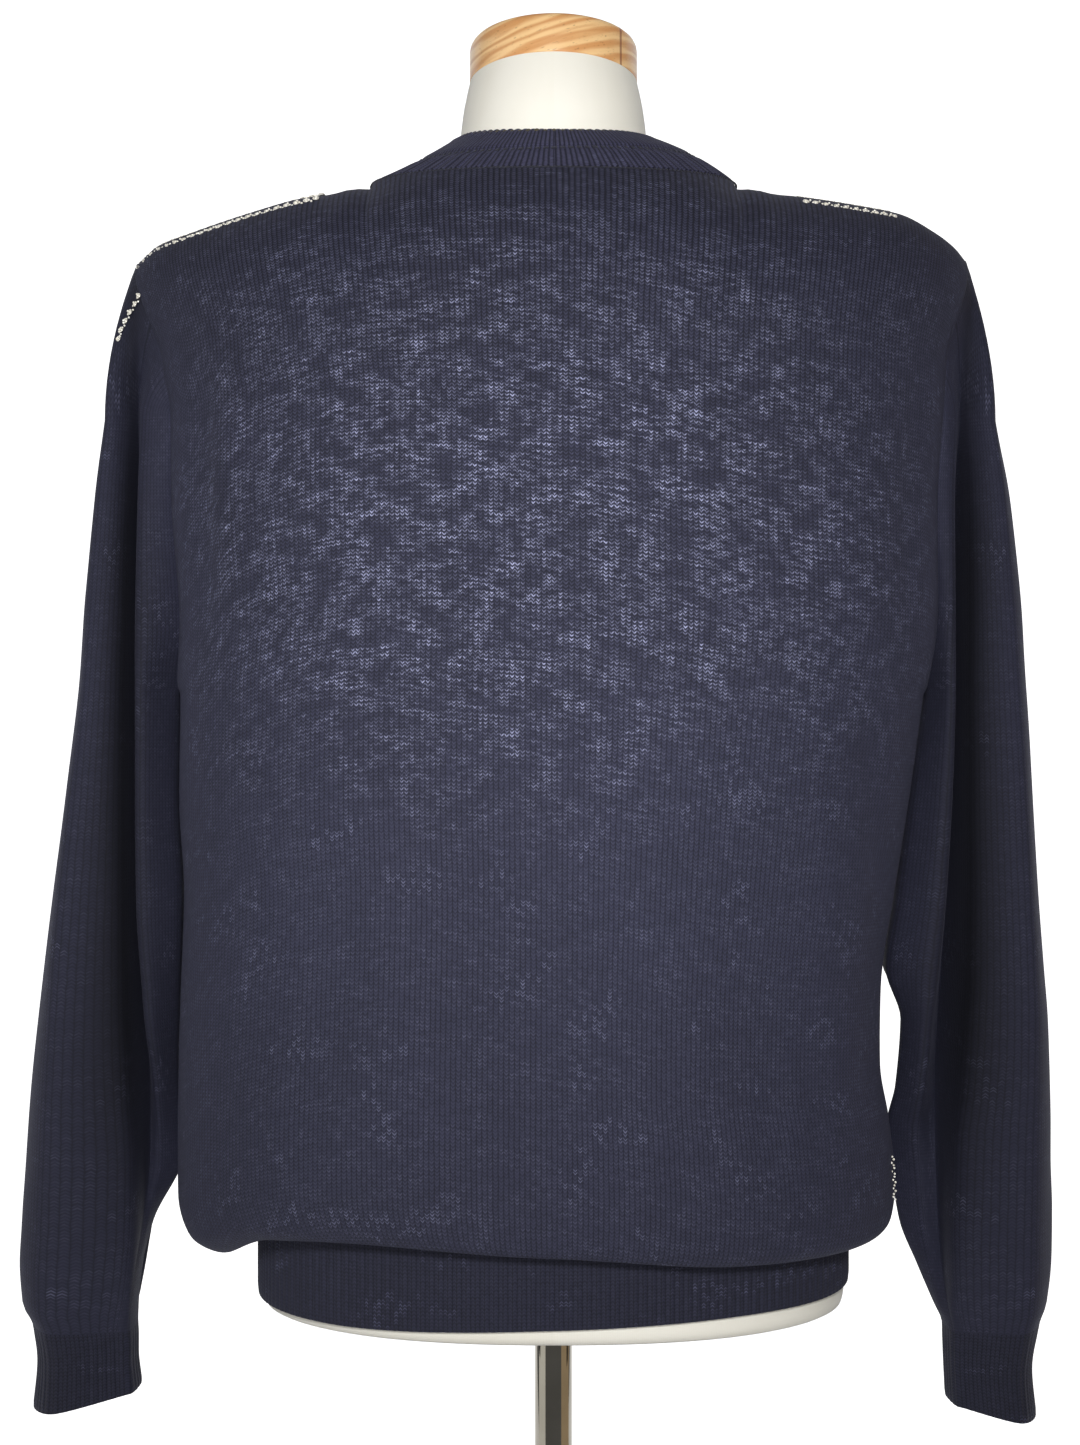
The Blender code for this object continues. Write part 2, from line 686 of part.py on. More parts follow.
def add_form(material):
    rings = [form_ring(row) for row in FORM_ROWS]
    faces = grid_faces(len(rings), FORM_SEGMENTS, closed=True)
    faces = [tuple(reversed(face)) for face in faces]
    last = (len(rings) - 1) * FORM_SEGMENTS
    faces.append(tuple(range(FORM_SEGMENTS)))
    faces.append(tuple(reversed(range(last, last + FORM_SEGMENTS))))
    return build_object("form_torso", np.concatenate(rings), faces, material)


def add_cylinder(name, radius, height, segments, bevel, material):
    """A cylinder standing on its origin, with its top edge rounded."""
    mesh = bpy.data.meshes.new(name)
    shape = bmesh.new()
    bmesh.ops.create_cone(
        shape, cap_ends=True, segments=segments, radius1=radius, radius2=radius, depth=height,
    )
    bmesh.ops.translate(shape, verts=shape.verts, vec=(0, 0, height / 2))
    if bevel:
        rim = [edge for edge in shape.edges if all(v.co.z > height * 0.99 for v in edge.verts)]
        bmesh.ops.bevel(
            shape, geom=rim, offset=bevel, segments=2, profile=0.5, affect="EDGES",
        )
    shape.to_mesh(mesh)
    shape.free()
    mesh.materials.append(material)
    thing = bpy.data.objects.new(name, mesh)
    bpy.context.scene.collection.objects.link(thing)
    return thing


def add_stand(wood, chrome, steel):
    cap = add_cylinder("neck_cap", CAP_RADIUS, CAP_HEIGHT, CAP_SEGMENTS, CAP_ROUND, wood)
    cap.location = (0, 0, NECK_TOP + SEAM_GAP)
    cap.rotation_euler = (NECK_TILT, 0, 0)
    foot = BASE_HEIGHT + SEAM_GAP
    top = FORM_ROWS[0][0] * MM - SEAM_GAP
    pole = add_cylinder("pole", POLE_RADIUS, top - foot, POLE_SEGMENTS, 0, chrome)
    pole.location = (0, 0, foot)
    add_cylinder("base", BASE_RADIUS, BASE_HEIGHT, BASE_SEGMENTS, BASE_EDGE, steel)


def main():
    clear_scene()
    navy = make_material("navy knit")
    rib = make_material("navy rib")
    add_panel("back_panel", 1, navy)
    add_panel("front_panel", -1, navy)
    add_sleeve("left_sleeve", 1, LEFT_SLEEVE_ROWS, navy)
    add_sleeve("right_sleeve", -1, RIGHT_SLEEVE_ROWS, navy)
    add_cuff("left_cuff", 1, LEFT_SLEEVE_ROWS, rib)
    add_cuff("right_cuff", -1, RIGHT_SLEEVE_ROWS, rib)
    add_neckband(rib)
    add_hem_band(rib)
    add_form(make_material("ivory jersey"))
    add_stand(make_material("pine"), make_material("chrome"), make_material("painted steel"))


main()
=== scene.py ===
"""Looks of the pullover sweater and its dress form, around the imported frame.

Metres, +Z up; the wearer faces -Y, so the camera looks along -Y at the back.
The sections are the construction's own, read at finer steps, with folds laid
into the cloth and ribs raised on it. Tables are in millimetres.
"""

import json
import math

import bmesh
import bpy
import numpy as np
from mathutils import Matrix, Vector

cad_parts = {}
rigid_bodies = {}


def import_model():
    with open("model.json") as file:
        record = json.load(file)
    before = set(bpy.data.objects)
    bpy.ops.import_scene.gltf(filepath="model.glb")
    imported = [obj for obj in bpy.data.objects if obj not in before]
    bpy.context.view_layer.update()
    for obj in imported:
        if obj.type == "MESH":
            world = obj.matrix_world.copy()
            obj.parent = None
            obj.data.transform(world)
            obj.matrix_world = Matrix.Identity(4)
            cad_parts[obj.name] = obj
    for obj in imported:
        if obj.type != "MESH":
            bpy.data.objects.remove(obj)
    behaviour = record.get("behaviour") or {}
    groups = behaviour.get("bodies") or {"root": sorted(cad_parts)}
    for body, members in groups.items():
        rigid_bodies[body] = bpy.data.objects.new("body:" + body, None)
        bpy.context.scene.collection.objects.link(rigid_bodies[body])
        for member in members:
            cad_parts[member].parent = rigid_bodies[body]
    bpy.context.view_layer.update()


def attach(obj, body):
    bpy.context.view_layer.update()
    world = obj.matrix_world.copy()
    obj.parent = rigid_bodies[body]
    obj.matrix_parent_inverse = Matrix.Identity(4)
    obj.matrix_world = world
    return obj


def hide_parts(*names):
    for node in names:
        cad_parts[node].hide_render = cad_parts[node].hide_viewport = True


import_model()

MM = 0.001

# cloth
KNIT_THICK = 1.6 * MM
RIB_THICK = 1.6 * MM
RIB_HEIGHT = 0.9 * MM
SEAM_GAP = 0.4 * MM
ARMHOLE_SHIFT_X = 0.6 * MM
UNDERARM_SHIFT_X = 3.4 * MM
ARMHOLE_SHIFT_Y = 0.5 * MM

# body of the sweater, section by section along the cloth, from the hem seam
# down round the roll and up to the yoke; left and right are half widths, and
# the edges are where back and front panels end at the side or at the armhole
BODY_COLUMNS = ("height", "left", "right", "back_edge", "front_edge", "back", "front", "droop")
BODY_ROWS = (
    (846.6, 169.0, 168.4, -10, -10, 117.3, -117.3, 0.0),
    (845.8, 175.5, 174.2, -10, -10, 123.5, -124, 0.0),
    (834, 184.0, 179.5, -10, -10, 127.5, -131, 0.8),
    (824, 195.0, 186.5, -10, -10, 131.5, -135, 1.0),
    (829, 207.5, 193.0, -10, -10, 135, -138.5, 1.0),
    (850, 215.5, 196.0, -10, -10, 137, -141, 0.9),
    (880, 216.0, 192.5, -10, -10, 137, -141, 0.5),
    (910, 215.5, 187.3, -10, -10, 136, -140, 0.2),
    (950, 214.0, 188.5, -10, -10, 134, -139, 0.0),
    (1005, 212.0, 195.5, -10, -10, 131, -139, 0.0),
    (1060, 215.0, 204.0, -10, -10, 130, -142, 0.0),
    (1116, 214.5, 212.0, -10, -10, 129, -147, 0.0),
    (1124, 214.5, 213.0, 8, -28, 129, -147, 0.0),
    (1165, 212.0, 217.5, 19, -39, 128, -150, 0.0),
    (1230, 215.5, 216.0, 27, -44, 125, -147, 0.0),
    (1275, 215.5, 219.0, 29, -44, 119, -137, 0.0),
    (1300, 219.5, 220.5, 28, -42, 114, -130, 0.0),
)
UNDERARM_ROW = 12
SECTION_POWER = 2.3
SIDE_Y = -10
EDGE_POWER = 7

# how far the yoke has turned over where it meets the shoulder line and where
# it meets the neck seam, and the band of the panel where one becomes the other
SHOULDER_TURN = math.radians(88)
NECK_TURN = math.radians(62)
NECK_BLEND_FROM = 0.8
NECK_BLEND_WIDE = 0.35

# how far the roll over the hem band hangs below its row, across the back
# from the right side (-1) to the left side (+1)
DROOP_PLACE = (-1.0, -0.62, -0.3, 0.0, 0.3, 0.55, 0.78, 1.0)
DROOP_BACK = (-10, -9, -7, 0, 5, 0, -17, -22)
DROOP_FRONT = (-10, -4, -2, 0, 0, -2, -14, -20)

# shoulder line, as (distance from the middle, height), and the neck seam
LEFT_SHOULDER = (
    (105.5, 1411), (137, 1405.5), (175, 1395.2), (210, 1384), (228, 1377.5), (240, 1367.5),
)
RIGHT_SHOULDER = (
    (105.5, 1411), (131, 1406), (160, 1402), (180, 1399), (199, 1395.5), (220, 1385),
    (231, 1377), (237.5, 1369.5),
)
RIDGE_Y = -5 * MM
NECK_HALF = 105.5 * MM
NECK_HEIGHT = 1411 * MM
NECK_BACK_Y = 78 * MM
NECK_BACK_HEIGHT = 1403 * MM
NECK_FRONT_Y = -106 * MM
NECK_FRONT_HEIGHT = 1349 * MM
NECK_DIP_POWER = 1.5

# top edge of the neckband
COLLAR_HALF = 55.4 * MM
COLLAR_SIDE_HEIGHT = 1437 * MM
COLLAR_BACK_Y = 56.2 * MM
COLLAR_BACK_HEIGHT = 1428.5 * MM
COLLAR_FRONT_Y = -74 * MM
COLLAR_FRONT_HEIGHT = 1396 * MM
COLLAR_BULGE = 0.5 * MM
COLLAR_BULGE_RIGHT = 1.5 * MM
COLLAR_RIBS = 84
COLLAR_SHARES = (0.05, 0.52, 1.0)
COLLAR_EXTRA = (0, 0.4 * MM, 0.6 * MM)

# the neckband's top edge turns in: how far down its last two rings lie, and
# how far inwards, in millimetres
COLLAR_TURN_DOWN = (2.2, 6.0)
COLLAR_TURN_IN = 0.2

# hem band
HEM_TOP = 844.5 * MM
HEM_BOTTOM = 777.6 * MM
HEM_LEFT = 168.0 * MM
HEM_RIGHT = 167.6 * MM
HEM_BACK = 116 * MM
HEM_FRONT = -116 * MM
HEM_LIFT = 7.5 * MM
HEM_RIBS = 188

# sleeves, section by section downwards: outer is the silhouette, lip the
# inner limit of the lobe that faces back, notch the bottom of the long fold,
# strip the lobe beside the body, inner the edge next to the body
SLEEVE_COLUMNS = (
    "height", "outer", "lip", "notch", "strip", "inner",
    "back", "dent", "tuck", "inner_y", "front", "lean",
)
LEFT_SLEEVE_ROWS = (
    (1275, 258.2, 244.5, 239.0, 232.5, 220.0, 20, 14, 22, 28, -46, 2),
    (1230, 263.0, 245.0, 240.0, 234.0, 219.5, 24, 36, 27, 26, -58, 2),
    (1165, 269.5, 246.0, 241.0, 235.0, 217.5, 27, 48, 29, 18, -68, 2),
    (1120, 274.0, 247.0, 241.0, 235.5, 218.8, 28, 52, 29, 10, -72, 2),
    (1060, 281.5, 247.0, 241.0, 235.5, 219.3, 30, 55, 29, 13, -70, 2),
    (1000, 290.0, 247.0, 240.5, 235.0, 217.0, 30, 56, 28, 14, -66, 2),
    (940, 297.5, 246.5, 239.0, 231.5, 219.0, 30, 50, 24, 8, -60, 2),
    (890, 303.0, 245.0, 236.5, 229.5, 221.0, 28, 42, 4, -8, -54, 2),
    (850, 306.0, 243.0, 237.0, 230.0, 219.5, 27, 36, -8, -18, -48, 2),
    (810, 308.3, 244.0, 240.0, 237.5, 236.4, 25, 24, -6, -16, -42, 4),
    (785, 309.5, 246.0, 243.0, 242.0, 242.0, 24, 15, 0, -12, -37, 5),
    (765, 308.5, 249.0, 244.5, 243.5, 243.5, 22, 8, 3, -8, -32, 6),
    (753, 302.5, 251.0, 245.0, 243.5, 243.5, 20, 6, 4, -6, -28, 7),
    (735, 299.3, 250.0, 245.0, 243.5, 243.5, 19, 6, 4, -6, -27, 7),
    (713.5, 301.8, 248.0, 243.0, 241.5, 241.5, 19, 6, 4, -6, -27, 7),
)
RIGHT_SLEEVE_ROWS = (
    (1275, 254.8, 239.0, 233.5, 228.0, 224.0, 20, 12, 22, 28, -46, 3),
    (1230, 262.3, 239.5, 233.0, 226.5, 220.5, 24, 34, 24, 26, -58, 3),
    (1165, 269.0, 239.5, 233.0, 227.0, 222.5, 27, 46, 24, 18, -68, 3),
    (1120, 273.0, 239.0, 232.5, 226.5, 217.5, 28, 52, 27, 10, -72, 3),
    (1060, 277.0, 239.0, 232.0, 224.0, 208.8, 30, 55, 29, 13, -70, 3),
    (1000, 280.8, 239.5, 230.5, 220.0, 200.3, 30, 56, 28, 14, -66, 4),
    (960, 284.0, 239.0, 228.5, 216.0, 194.6, 30, 54, 27, 12, -62, 7),
    (930, 286.5, 237.5, 226.0, 213.5, 202.5, 30, 50, 22, 8, -58, 12),
    (890, 288.0, 235.0, 224.0, 212.0, 201.0, 28, 44, 8, -4, -54, 12),
    (868, 288.5, 232.5, 224.5, 211.0, 198.2, 27, 40, -4, -14, -50, 6),
    (845, 288.5, 231.5, 225.0, 213.0, 200.6, 27, 37, -10, -20, -47, 4),
    (810, 288.5, 231.0, 226.0, 216.0, 205.6, 25, 32, -8, -18, -42, 4),
    (785, 288.2, 231.5, 227.0, 220.5, 215.0, 24, 24, -4, -14, -37, 5),
    (765, 286.5, 233.0, 228.5, 224.5, 223.0, 22, 12, 2, -8, -32, 6),
    (753, 282.3, 235.5, 230.5, 228.5, 228.0, 20, 6, 4, -6, -28, 7),
    (730, 277.5, 236.0, 231.5, 229.5, 229.0, 19, 6, 4, -6, -27, 7),
    (707, 280.0, 236.5, 232.5, 230.5, 230.0, 19, 6, 4, -6, -27, 7),
)
OUTER_Y = -10
LIP_BACK = 4
ROUND_WIDTH = 0.3
ROUND_FRONT = 0.85
INNER_FRONT = 0.8
MIDDLE_FRONT = 0.75
CURVE_TENSION = 0.42
UNDERARM_BLEND = 30
CAP_KNEE = 0.5

# the numbers of a sleeve section's corner points: the armhole is open from
# the first corner round to this one, and there are this many in all
OPEN_END = 8
FRAME_POINTS = 10

# cuffs, at the foot of the sleeve tables; the bottom hangs lower outside
CUFF_TOP = 753
CUFF_RIBS = 34
CUFF_SLOPE = 0.24
CUFF_GAP = 0.05

# dress form, section by section upwards
FORM_COLUMNS = ("height", "half", "back", "front")
FORM_ROWS = (
    (771, 161.0, 108, -108),
    (773, 165.5, 112.5, -112.5),
    (779, 166.8, 114.5, -114.5),
    (805, 166.9, 115.0, -115.0),
    (850, 165.0, 112, -114),
    (900, 155.0, 103, -112),
    (980, 131.0, 88, -98),
    (1060, 138.0, 92, -106),
    (1150, 152.0, 98, -126),
    (1205, 158.0, 98, -132),
    (1260, 162.0, 95, -116),
    (1310, 175.0, 88, -94),
    (1345, 186.0, 72, -70),
    (1366, 191.0, 52, -50),
    (1379, 186.0, 40, -40),
    (1388, 168.0, 36, -38),
    (1396, 142.0, 36, -40),
    (1403, 108.0, 38, -42),
    (1409, 80.0, 44, -48),
    (1418, 61.0, 52.5, -55),
    (1428, 54.8, 53.0, -55.5),
    (1440, 53.8, 53.4, -55),
    (1456, 51.8, 51.5, -52),
    (1471, 48.5, 48.5, -48.5),
)
NECK_TILT = math.radians(6.5)
TILT_FROM = 1408 * MM
NECK_TOP = 1471 * MM
FORM_ROUND_FROM = 900 * MM
FORM_ROUND_OVER = 450 * MM

# neck cap, pole and base
CAP_RADIUS = 48.5 * MM
CAP_HEIGHT = 24 * MM
CAP_ROUND = 5 * MM
POLE_RADIUS = 10.8 * MM
BASE_RADIUS = 160 * MM
BASE_HEIGHT = 9 * MM
BASE_EDGE = 1.5 * MM

# grid sizes, fine enough for the folds
PANEL_SIDE_SHARE = 0.32
LOOP_POINTS = 240
CUFF_LOOP_POINTS = 120
CAP_SEGMENTS = 40
POLE_SEGMENTS = 24
BASE_SEGMENTS = 48
CUFF_STEPS = 14
NECK_STEPS = 16
HEM_STEPS = 14
PANEL_COLUMNS = 126
BODY_STEPS = 120
SHOULDER_STEPS = 26
SLEEVE_OPEN = 90
SLEEVE_INNER = 14
CAP_STEPS = 12
ARMHOLE_STEPS = 26
SLEEVE_STEPS = 90
RIB_COLUMNS = 8
FORM_SEGMENTS = 96

# knit gauge, as the photograph shows it
WALE = 2.75 * MM
COURSE = 1.95 * MM

# how far a sleeve's edge runs in under the body, and the armhole's middle
TUCK_UNDER = 3.5 * MM
TUCK_DEPTH = 2.2 * MM
ARMHOLE_MIDDLE = (-8 * MM, 1250 * MM)

# ribs: how far they stand out, and their stitches
CUFF_RIB = 0.55 * MM
HEM_RIB = 0.75 * MM
RIB_WALE = 2.45 * MM
RIB_COURSE = 1.9 * MM

# share of the neckband's height at the chain row
CHAIN_SHARE = 0.5

# beadwork on the front of the shoulders: rows on the front as steps over the
# shoulder, the stretch of each shoulder as (side, nearest, farthest), and rows
# on top as shares of the way from the edge that the camera sees to the front
BEAD_STEPS = (1.96, 1.9, 1.84)
BEAD_REACH = ((1, 134, 239.5), (-1, 142, 194))
BEAD_ROWS_TOP = (0, 0.6, 0.75, 0.9)
BEAD_POINTS = 120
CAP_BEAD_SHARE = (0.0, 0.42)
BEAD_INSET = 3.2 * MM
BEAD_LIFT = 0.5 * MM
VIEW_DISTANCE = 1.27
SPRAY_ROWS = (4.7, 5.5)
SPRAY_INSET = 1.2 * MM
BEAD_PITCH = 5.6 * MM
CUP_RADIUS = 1.15 * MM
CUP_THICK = 0.45 * MM
CENTRE_RADIUS = 0.6 * MM
SEED_RADIUS = 0.66 * MM
SEED_PITCH = 2.4 * MM
SEED_SWING = 2.0 * MM

# stitched rows of the neckband, in millimetres but for the lean
STITCH_COLUMNS = ("name", "ring", "spacing", "size", "thick", "lean", "seed")
STITCH_ROWS = (
    ("chain_left", 0, 4.6, 1.9, 0.5, 0.5, 7),
    ("chain_right", 0, 4.6, 1.9, 0.5, -0.5, 7),
    ("linking_row", 1, 2.4, 1.5, 0.55, 0.25, 8),
    ("edge_scallops", 2, 4.8, 2.0, 1.7, 0.0, 9),
)
LINK_SHARE = 0.012

# where the dark glue line crosses the neck cap
GLUE_LINE_X = -38 * MM

# soft folds in the body, by distance from the middle and height: a positive
# rise is a fold that stands out, and slant moves it sideways with height
FOLD_COLUMNS = ("side", "middle", "wide", "low", "high", "rise", "slant")
BODY_FOLDS = (
    ("back", 98, 8, 1378, 1445, -2.0, 0.0),
    ("back", 128, 13, 1372, 1445, -1.8, 0.0),
    ("back", -98, 8, 1378, 1445, -2.0, 0.0),
    ("back", -124, 11, 1372, 1445, -1.2, 0.0),
    ("back", 192, 9, 1130, 1320, -2.6, 0.02),
    ("back", 178, 10, 1140, 1310, 1.4, 0.02),
    ("back", 88, 16, 860, 1040, 1.6, -0.05),
    ("back", 118, 15, 850, 1030, -1.0, -0.06),
    ("back", 20, 26, 850, 1010, 0.9, 0.04),
    ("back", -70, 22, 850, 1060, 1.1, 0.08),
    ("back", -108, 15, 850, 1000, -0.9, 0.1),
    ("back", -150, 14, 850, 1120, 1.5, 0.1),
    ("back", -176, 9, 900, 1160, -1.8, 0.1),
    ("back", -196, 8, 1120, 1330, -1.6, -0.06),
    ("back", 150, 12, 850, 930, 1.3, 0.1),
    ("front", 150, 14, 860, 1120, 1.8, -0.12),
    ("front", 120, 14, 860, 1060, -1.2, -0.1),
    ("front", -150, 14, 860, 1120, 1.8, 0.12),
    ("front", -118, 14, 860, 1060, -1.2, 0.1),
    ("front", 60, 22, 850, 990, 1.2, 0.05),
    ("front", -50, 22, 850, 1000, 1.2, -0.04),
    ("front", 0, 20, 850, 960, -0.8, 0.0),
    ("front", 188, 10, 1120, 1320, -2.2, 0.03),
    ("front", -190, 10, 1120, 1320, -2.2, -0.03),
)

# imprint of the inside neck label, as (middle, height, half width, half height)
LABEL = (14, 1338, 17, 19)
LABEL_RISE = 0.35
LABEL_EDGE = 2.5

# creases of the sleeves, by corner number round the section and height
CREASE_COLUMNS = ("around", "wide", "low", "high", "rise", "slant")
SLEEVE_CREASES = (
    (4.0, 0.35, 900, 1120, 1.2, 0.0012),
    (4.4, 0.3, 1120, 1290, 1.4, -0.002),
    (3.4, 0.25, 780, 900, 1.0, 0.002),
    (5.2, 0.5, 1040, 1220, 1.0, 0.001),
    (6.3, 0.35, 900, 1200, 1.6, -0.001),
    (7.0, 0.3, 780, 960, 1.4, 0.001),
    (4.7, 0.25, 765, 850, 0.9, -0.002),
    (5.8, 0.3, 765, 860, 0.9, 0.002),
)

# painted shade in the deep folds of the sleeves beside the body: (corner number,
# width, lowest and highest height, how dark)
PAINTED_FOLD_SHADES = (
    (2.9, 0.75, 700, 1420, 0.85),
    (1.2, 1.1, 760, 1330, 0.5),
)

# camera, from the photograph's scale and viewpoint
CAMERA_PLACE = (0.0078, 1.283, 1.102)
CAMERA_SENSOR = 36
FOCAL_PIXELS = 2212
IMAGE_HEIGHT = 1445

# light, in watts and degrees
POOL_POWER = 240
POOL_SPREAD = 20
FILL_POWER = 5
BOUNCE_POWER = 1.2
WORLD_STRENGTH = 0.2
CARD_FAR = 2.2

# painted highlight: the lit middle of the back, where glints of the yarn are painted on: (x, z) and half
# sizes
PAINTED_GLINT_MIDDLE = (0.02, 1.222)
PAINTED_GLINT_HALF = (0.21, 0.14)


def clear_defaults():
    for thing in list(bpy.data.objects):
        if thing.type in {"LIGHT", "CAMERA"}:
            bpy.data.objects.remove(thing, do_unlink=True)


# ---- shape of the cloth, as in the construction ----

def ease(part):
    part = np.clip(part, 0.0, 1.0)
    return part * part * (3 - 2 * part)


def smooth(places, values, at):
    """Values at the given places of a smooth curve that never overshoots."""
    places = np.asarray(places, dtype=float)
    values = np.asarray(values, dtype=float)
    slope = np.diff(values) / np.diff(places)
    product = slope[1:] * slope[:-1]
    total = np.where(product > 0, slope[1:] + slope[:-1], 1.0)
    inner = np.where(product > 0, 2 * product / total, 0.0)
    tangent = np.concatenate(([slope[0]], inner, [slope[-1]]))
    at = np.clip(at, places[0], places[-1])
    index = np.clip(np.searchsorted(places, at) - 1, 0, len(places) - 2)
    width = places[index + 1] - places[index]
    part = (at - places[index]) / width
    rise = values[index + 1] - values[index]
    bend = (1 - part) * tangent[index] - part * tangent[index + 1]
    return values[index] + rise * part * part * (3 - 2 * part) + width * part * (1 - part) * bend


def table_value(rows, names, name, at, by=None):
    """A column of a table at a row number, or at a value of the column `by`."""
    data = np.array(rows, dtype=float)
    values = data[:, names.index(name)]
    if by is None:
        return smooth(np.arange(len(data)), values, at)
    places = data[:, names.index(by)]
    order = np.argsort(places)
    return smooth(places[order], values[order], at)


def across(place):
    """Share of the half width and of the depth at a place from -1 to 1."""
    angle = place * math.pi / 2
    wide = np.sign(angle) * np.abs(np.sin(angle)) ** (2 / SECTION_POWER)
    deep = np.abs(np.cos(angle)) ** (2 / SECTION_POWER)
    return wide, deep


def body_value(name, row):
    return table_value(BODY_ROWS, BODY_COLUMNS, name, row)


def section_points(place, row, facing):
    """Points of the body's sections; facing is 1 for the back, -1 the front."""
    wide, deep = across(place)
    half = np.where(place > 0, body_value("left", row), body_value("right", row))
    edge = body_value("back_edge" if facing > 0 else "front_edge", row) - SIDE_Y
    middle = body_value("back" if facing > 0 else "front", row) - SIDE_Y
    droop = smooth(DROOP_PLACE, DROOP_BACK if facing > 0 else DROOP_FRONT, place)
    height = body_value("height", row) + body_value("droop", row) * droop
    y = SIDE_Y + middle * deep + edge * np.abs(place) ** EDGE_POWER
    return np.stack(np.broadcast_arrays(half * wide, y, height), axis=-1) * MM


def path_run(points):
    """Length along a path, at each of its points."""
    return np.concatenate(([0], np.cumsum(np.linalg.norm(np.diff(points, axis=0), axis=1))))


def path_at(points, run, at):
    """Points of a path at the given lengths along it."""
    return np.stack([np.interp(at, run, points[:, axis]) for axis in range(3)], axis=1)


def shoulder_line(side):
    return np.array(LEFT_SHOULDER if side > 0 else RIGHT_SHOULDER) * MM


def tip_half(side):
    return shoulder_line(side)[-1][0]


def neck_place(side):
    """The place across the panel where the neck seam meets the shoulder."""
    share = NECK_HALF / tip_half(side)
    return math.asin(share ** (SECTION_POWER / 2)) * 2 / math.pi


def by_side(place, left, right):
    return np.where(place > 0, left, right)


def top_points(place, facing):
    """The shoulder line, or the neck seam near the middle."""
    corner = by_side(place, neck_place(1), neck_place(-1))
    x = by_side(place, tip_half(1), tip_half(-1)) * np.abs(across(place)[0])
    slope = [smooth(shoulder_line(side)[:, 0], shoulder_line(side)[:, 1], x) for side in (1, -1)]
    bow = np.sqrt(np.maximum(0.0, 1 - (x / NECK_HALF) ** 2))
    low_y = NECK_BACK_Y if facing > 0 else NECK_FRONT_Y
    low_z = NECK_BACK_HEIGHT if facing > 0 else NECK_FRONT_HEIGHT
    outside = np.abs(place) >= corner
    y = np.where(outside, RIDGE_Y, RIDGE_Y + (low_y - RIDGE_Y) * bow)
    dip = NECK_HEIGHT + (low_z - NECK_HEIGHT) * bow ** NECK_DIP_POWER
    z = np.where(outside, by_side(place, slope[0], slope[1]), dip)
    return np.stack([np.copysign(x, place), y, z], axis=-1)


def panel_points(place, step, facing):
    """Points of a body panel; step runs 0 to 1 to the yoke, then 1 to 2."""
    last = len(BODY_ROWS) - 1
    low = section_points(place, np.minimum(step, 1) * last, facing)
    end = top_points(place, facing)
    corner = by_side(place, neck_place(1), neck_place(-1))
    past_neck = (np.abs(place) / corner - NECK_BLEND_FROM) / NECK_BLEND_WIDE
    end_angle = NECK_TURN + (SHOULDER_TURN - NECK_TURN) * ease(past_neck)
    angle = np.maximum(step - 1, 0) * end_angle
    rise = np.sin(angle) / np.sin(end_angle)
    turn = (1 - np.cos(angle)) / (1 - np.cos(end_angle))
    share = np.stack(np.broadcast_arrays(ease(rise), turn, rise), axis=-1)
    return low + (end - low) * share


def sleeve_frame(rows, height):
    """Corner points of a sleeve's section, from the back seam round to it."""
    value = {
        name: table_value(rows, SLEEVE_COLUMNS, name, height, by="height")
        for name in SLEEVE_COLUMNS
    }
    width = value["outer"] - value["lip"]
    front = value["front"]
    inner = value["inner"]
    return np.array([
        (inner, value["inner_y"]),
        (value["strip"], value["tuck"]),
        (value["notch"], value["back"] - value["dent"]),
        (value["lip"], value["back"] - LIP_BACK),
        (value["outer"] - ROUND_WIDTH * width, value["back"]),
        (value["outer"], OUTER_Y),
        (value["outer"] - ROUND_WIDTH * width, front * ROUND_FRONT),
        (value["lip"], front),
        (inner + value["lean"], front * INNER_FRONT),
        (inner + value["lean"] / 3, (front * MIDDLE_FRONT + value["inner_y"]) / 2),
    ]) * MM


def curve_through(corners, at):
    """Points at the given corner numbers of a closed curve through corners."""
    count = len(corners)
    index = np.floor(at).astype(int)
    part = (at - index).reshape(-1, 1)
    before = corners[(index - 1) % count]
    first = corners[index % count]
    second = corners[(index + 1) % count]
    after = corners[(index + 2) % count]
    start = (second - before) * CURVE_TENSION
    end = (after - first) * CURVE_TENSION
    return (
        first
        + (second - first) * part * part * (3 - 2 * part)
        + part * (1 - part) * ((1 - part) * start - part * end)
    )


def armhole_row(height):
    """The row number of the body's table at a height above the underarm."""
    heights = [row[0] for row in BODY_ROWS[UNDERARM_ROW:]]
    rows = np.linspace(UNDERARM_ROW, len(BODY_ROWS) - 1, 200)
    return np.interp(height, smooth(np.arange(len(heights)), heights, rows - UNDERARM_ROW), rows)


def sleeve_section(side, rows, height, at):
    """Points of a sleeve's section, joined to the armhole above the underarm."""
    corners = sleeve_frame(rows, height)
    underarm = BODY_ROWS[UNDERARM_ROW][0]
    if height >= underarm:
        row = armhole_row(height)
        half = body_value("left" if side > 0 else "right", row) * MM
        near = ease((height - underarm) / UNDERARM_BLEND)
        shift = UNDERARM_SHIFT_X + (ARMHOLE_SHIFT_X - UNDERARM_SHIFT_X) * near
        corners[0] = (half + shift, body_value("back_edge", row) * MM - ARMHOLE_SHIFT_Y)
        corners[OPEN_END] = (half + shift, body_value("front_edge", row) * MM + ARMHOLE_SHIFT_Y)
        corners[OPEN_END + 1] = (corners[0] + corners[OPEN_END]) / 2
    flat = curve_through(corners, at)
    return np.stack([side * flat[:, 0], flat[:, 1], np.full(len(at), height * MM)], axis=1)


def armhole_arc(side, count):
    """The seam over the shoulder, from the back edge to the front edge."""
    last = len(BODY_ROWS) - 1
    steps = np.concatenate(([(last - 1) / last], np.linspace(1, 2, 2 * SHOULDER_STEPS)))
    ends = [panel_points(np.full(len(steps), float(side)), steps, facing) for facing in (1, -1)]
    line = np.concatenate((ends[0][:-1], ends[1][::-1]))
    run = path_run(line)
    points = path_at(line, run, np.linspace(0, run[-1], count))
    points[:, 0] += side * ARMHOLE_SHIFT_X
    return points


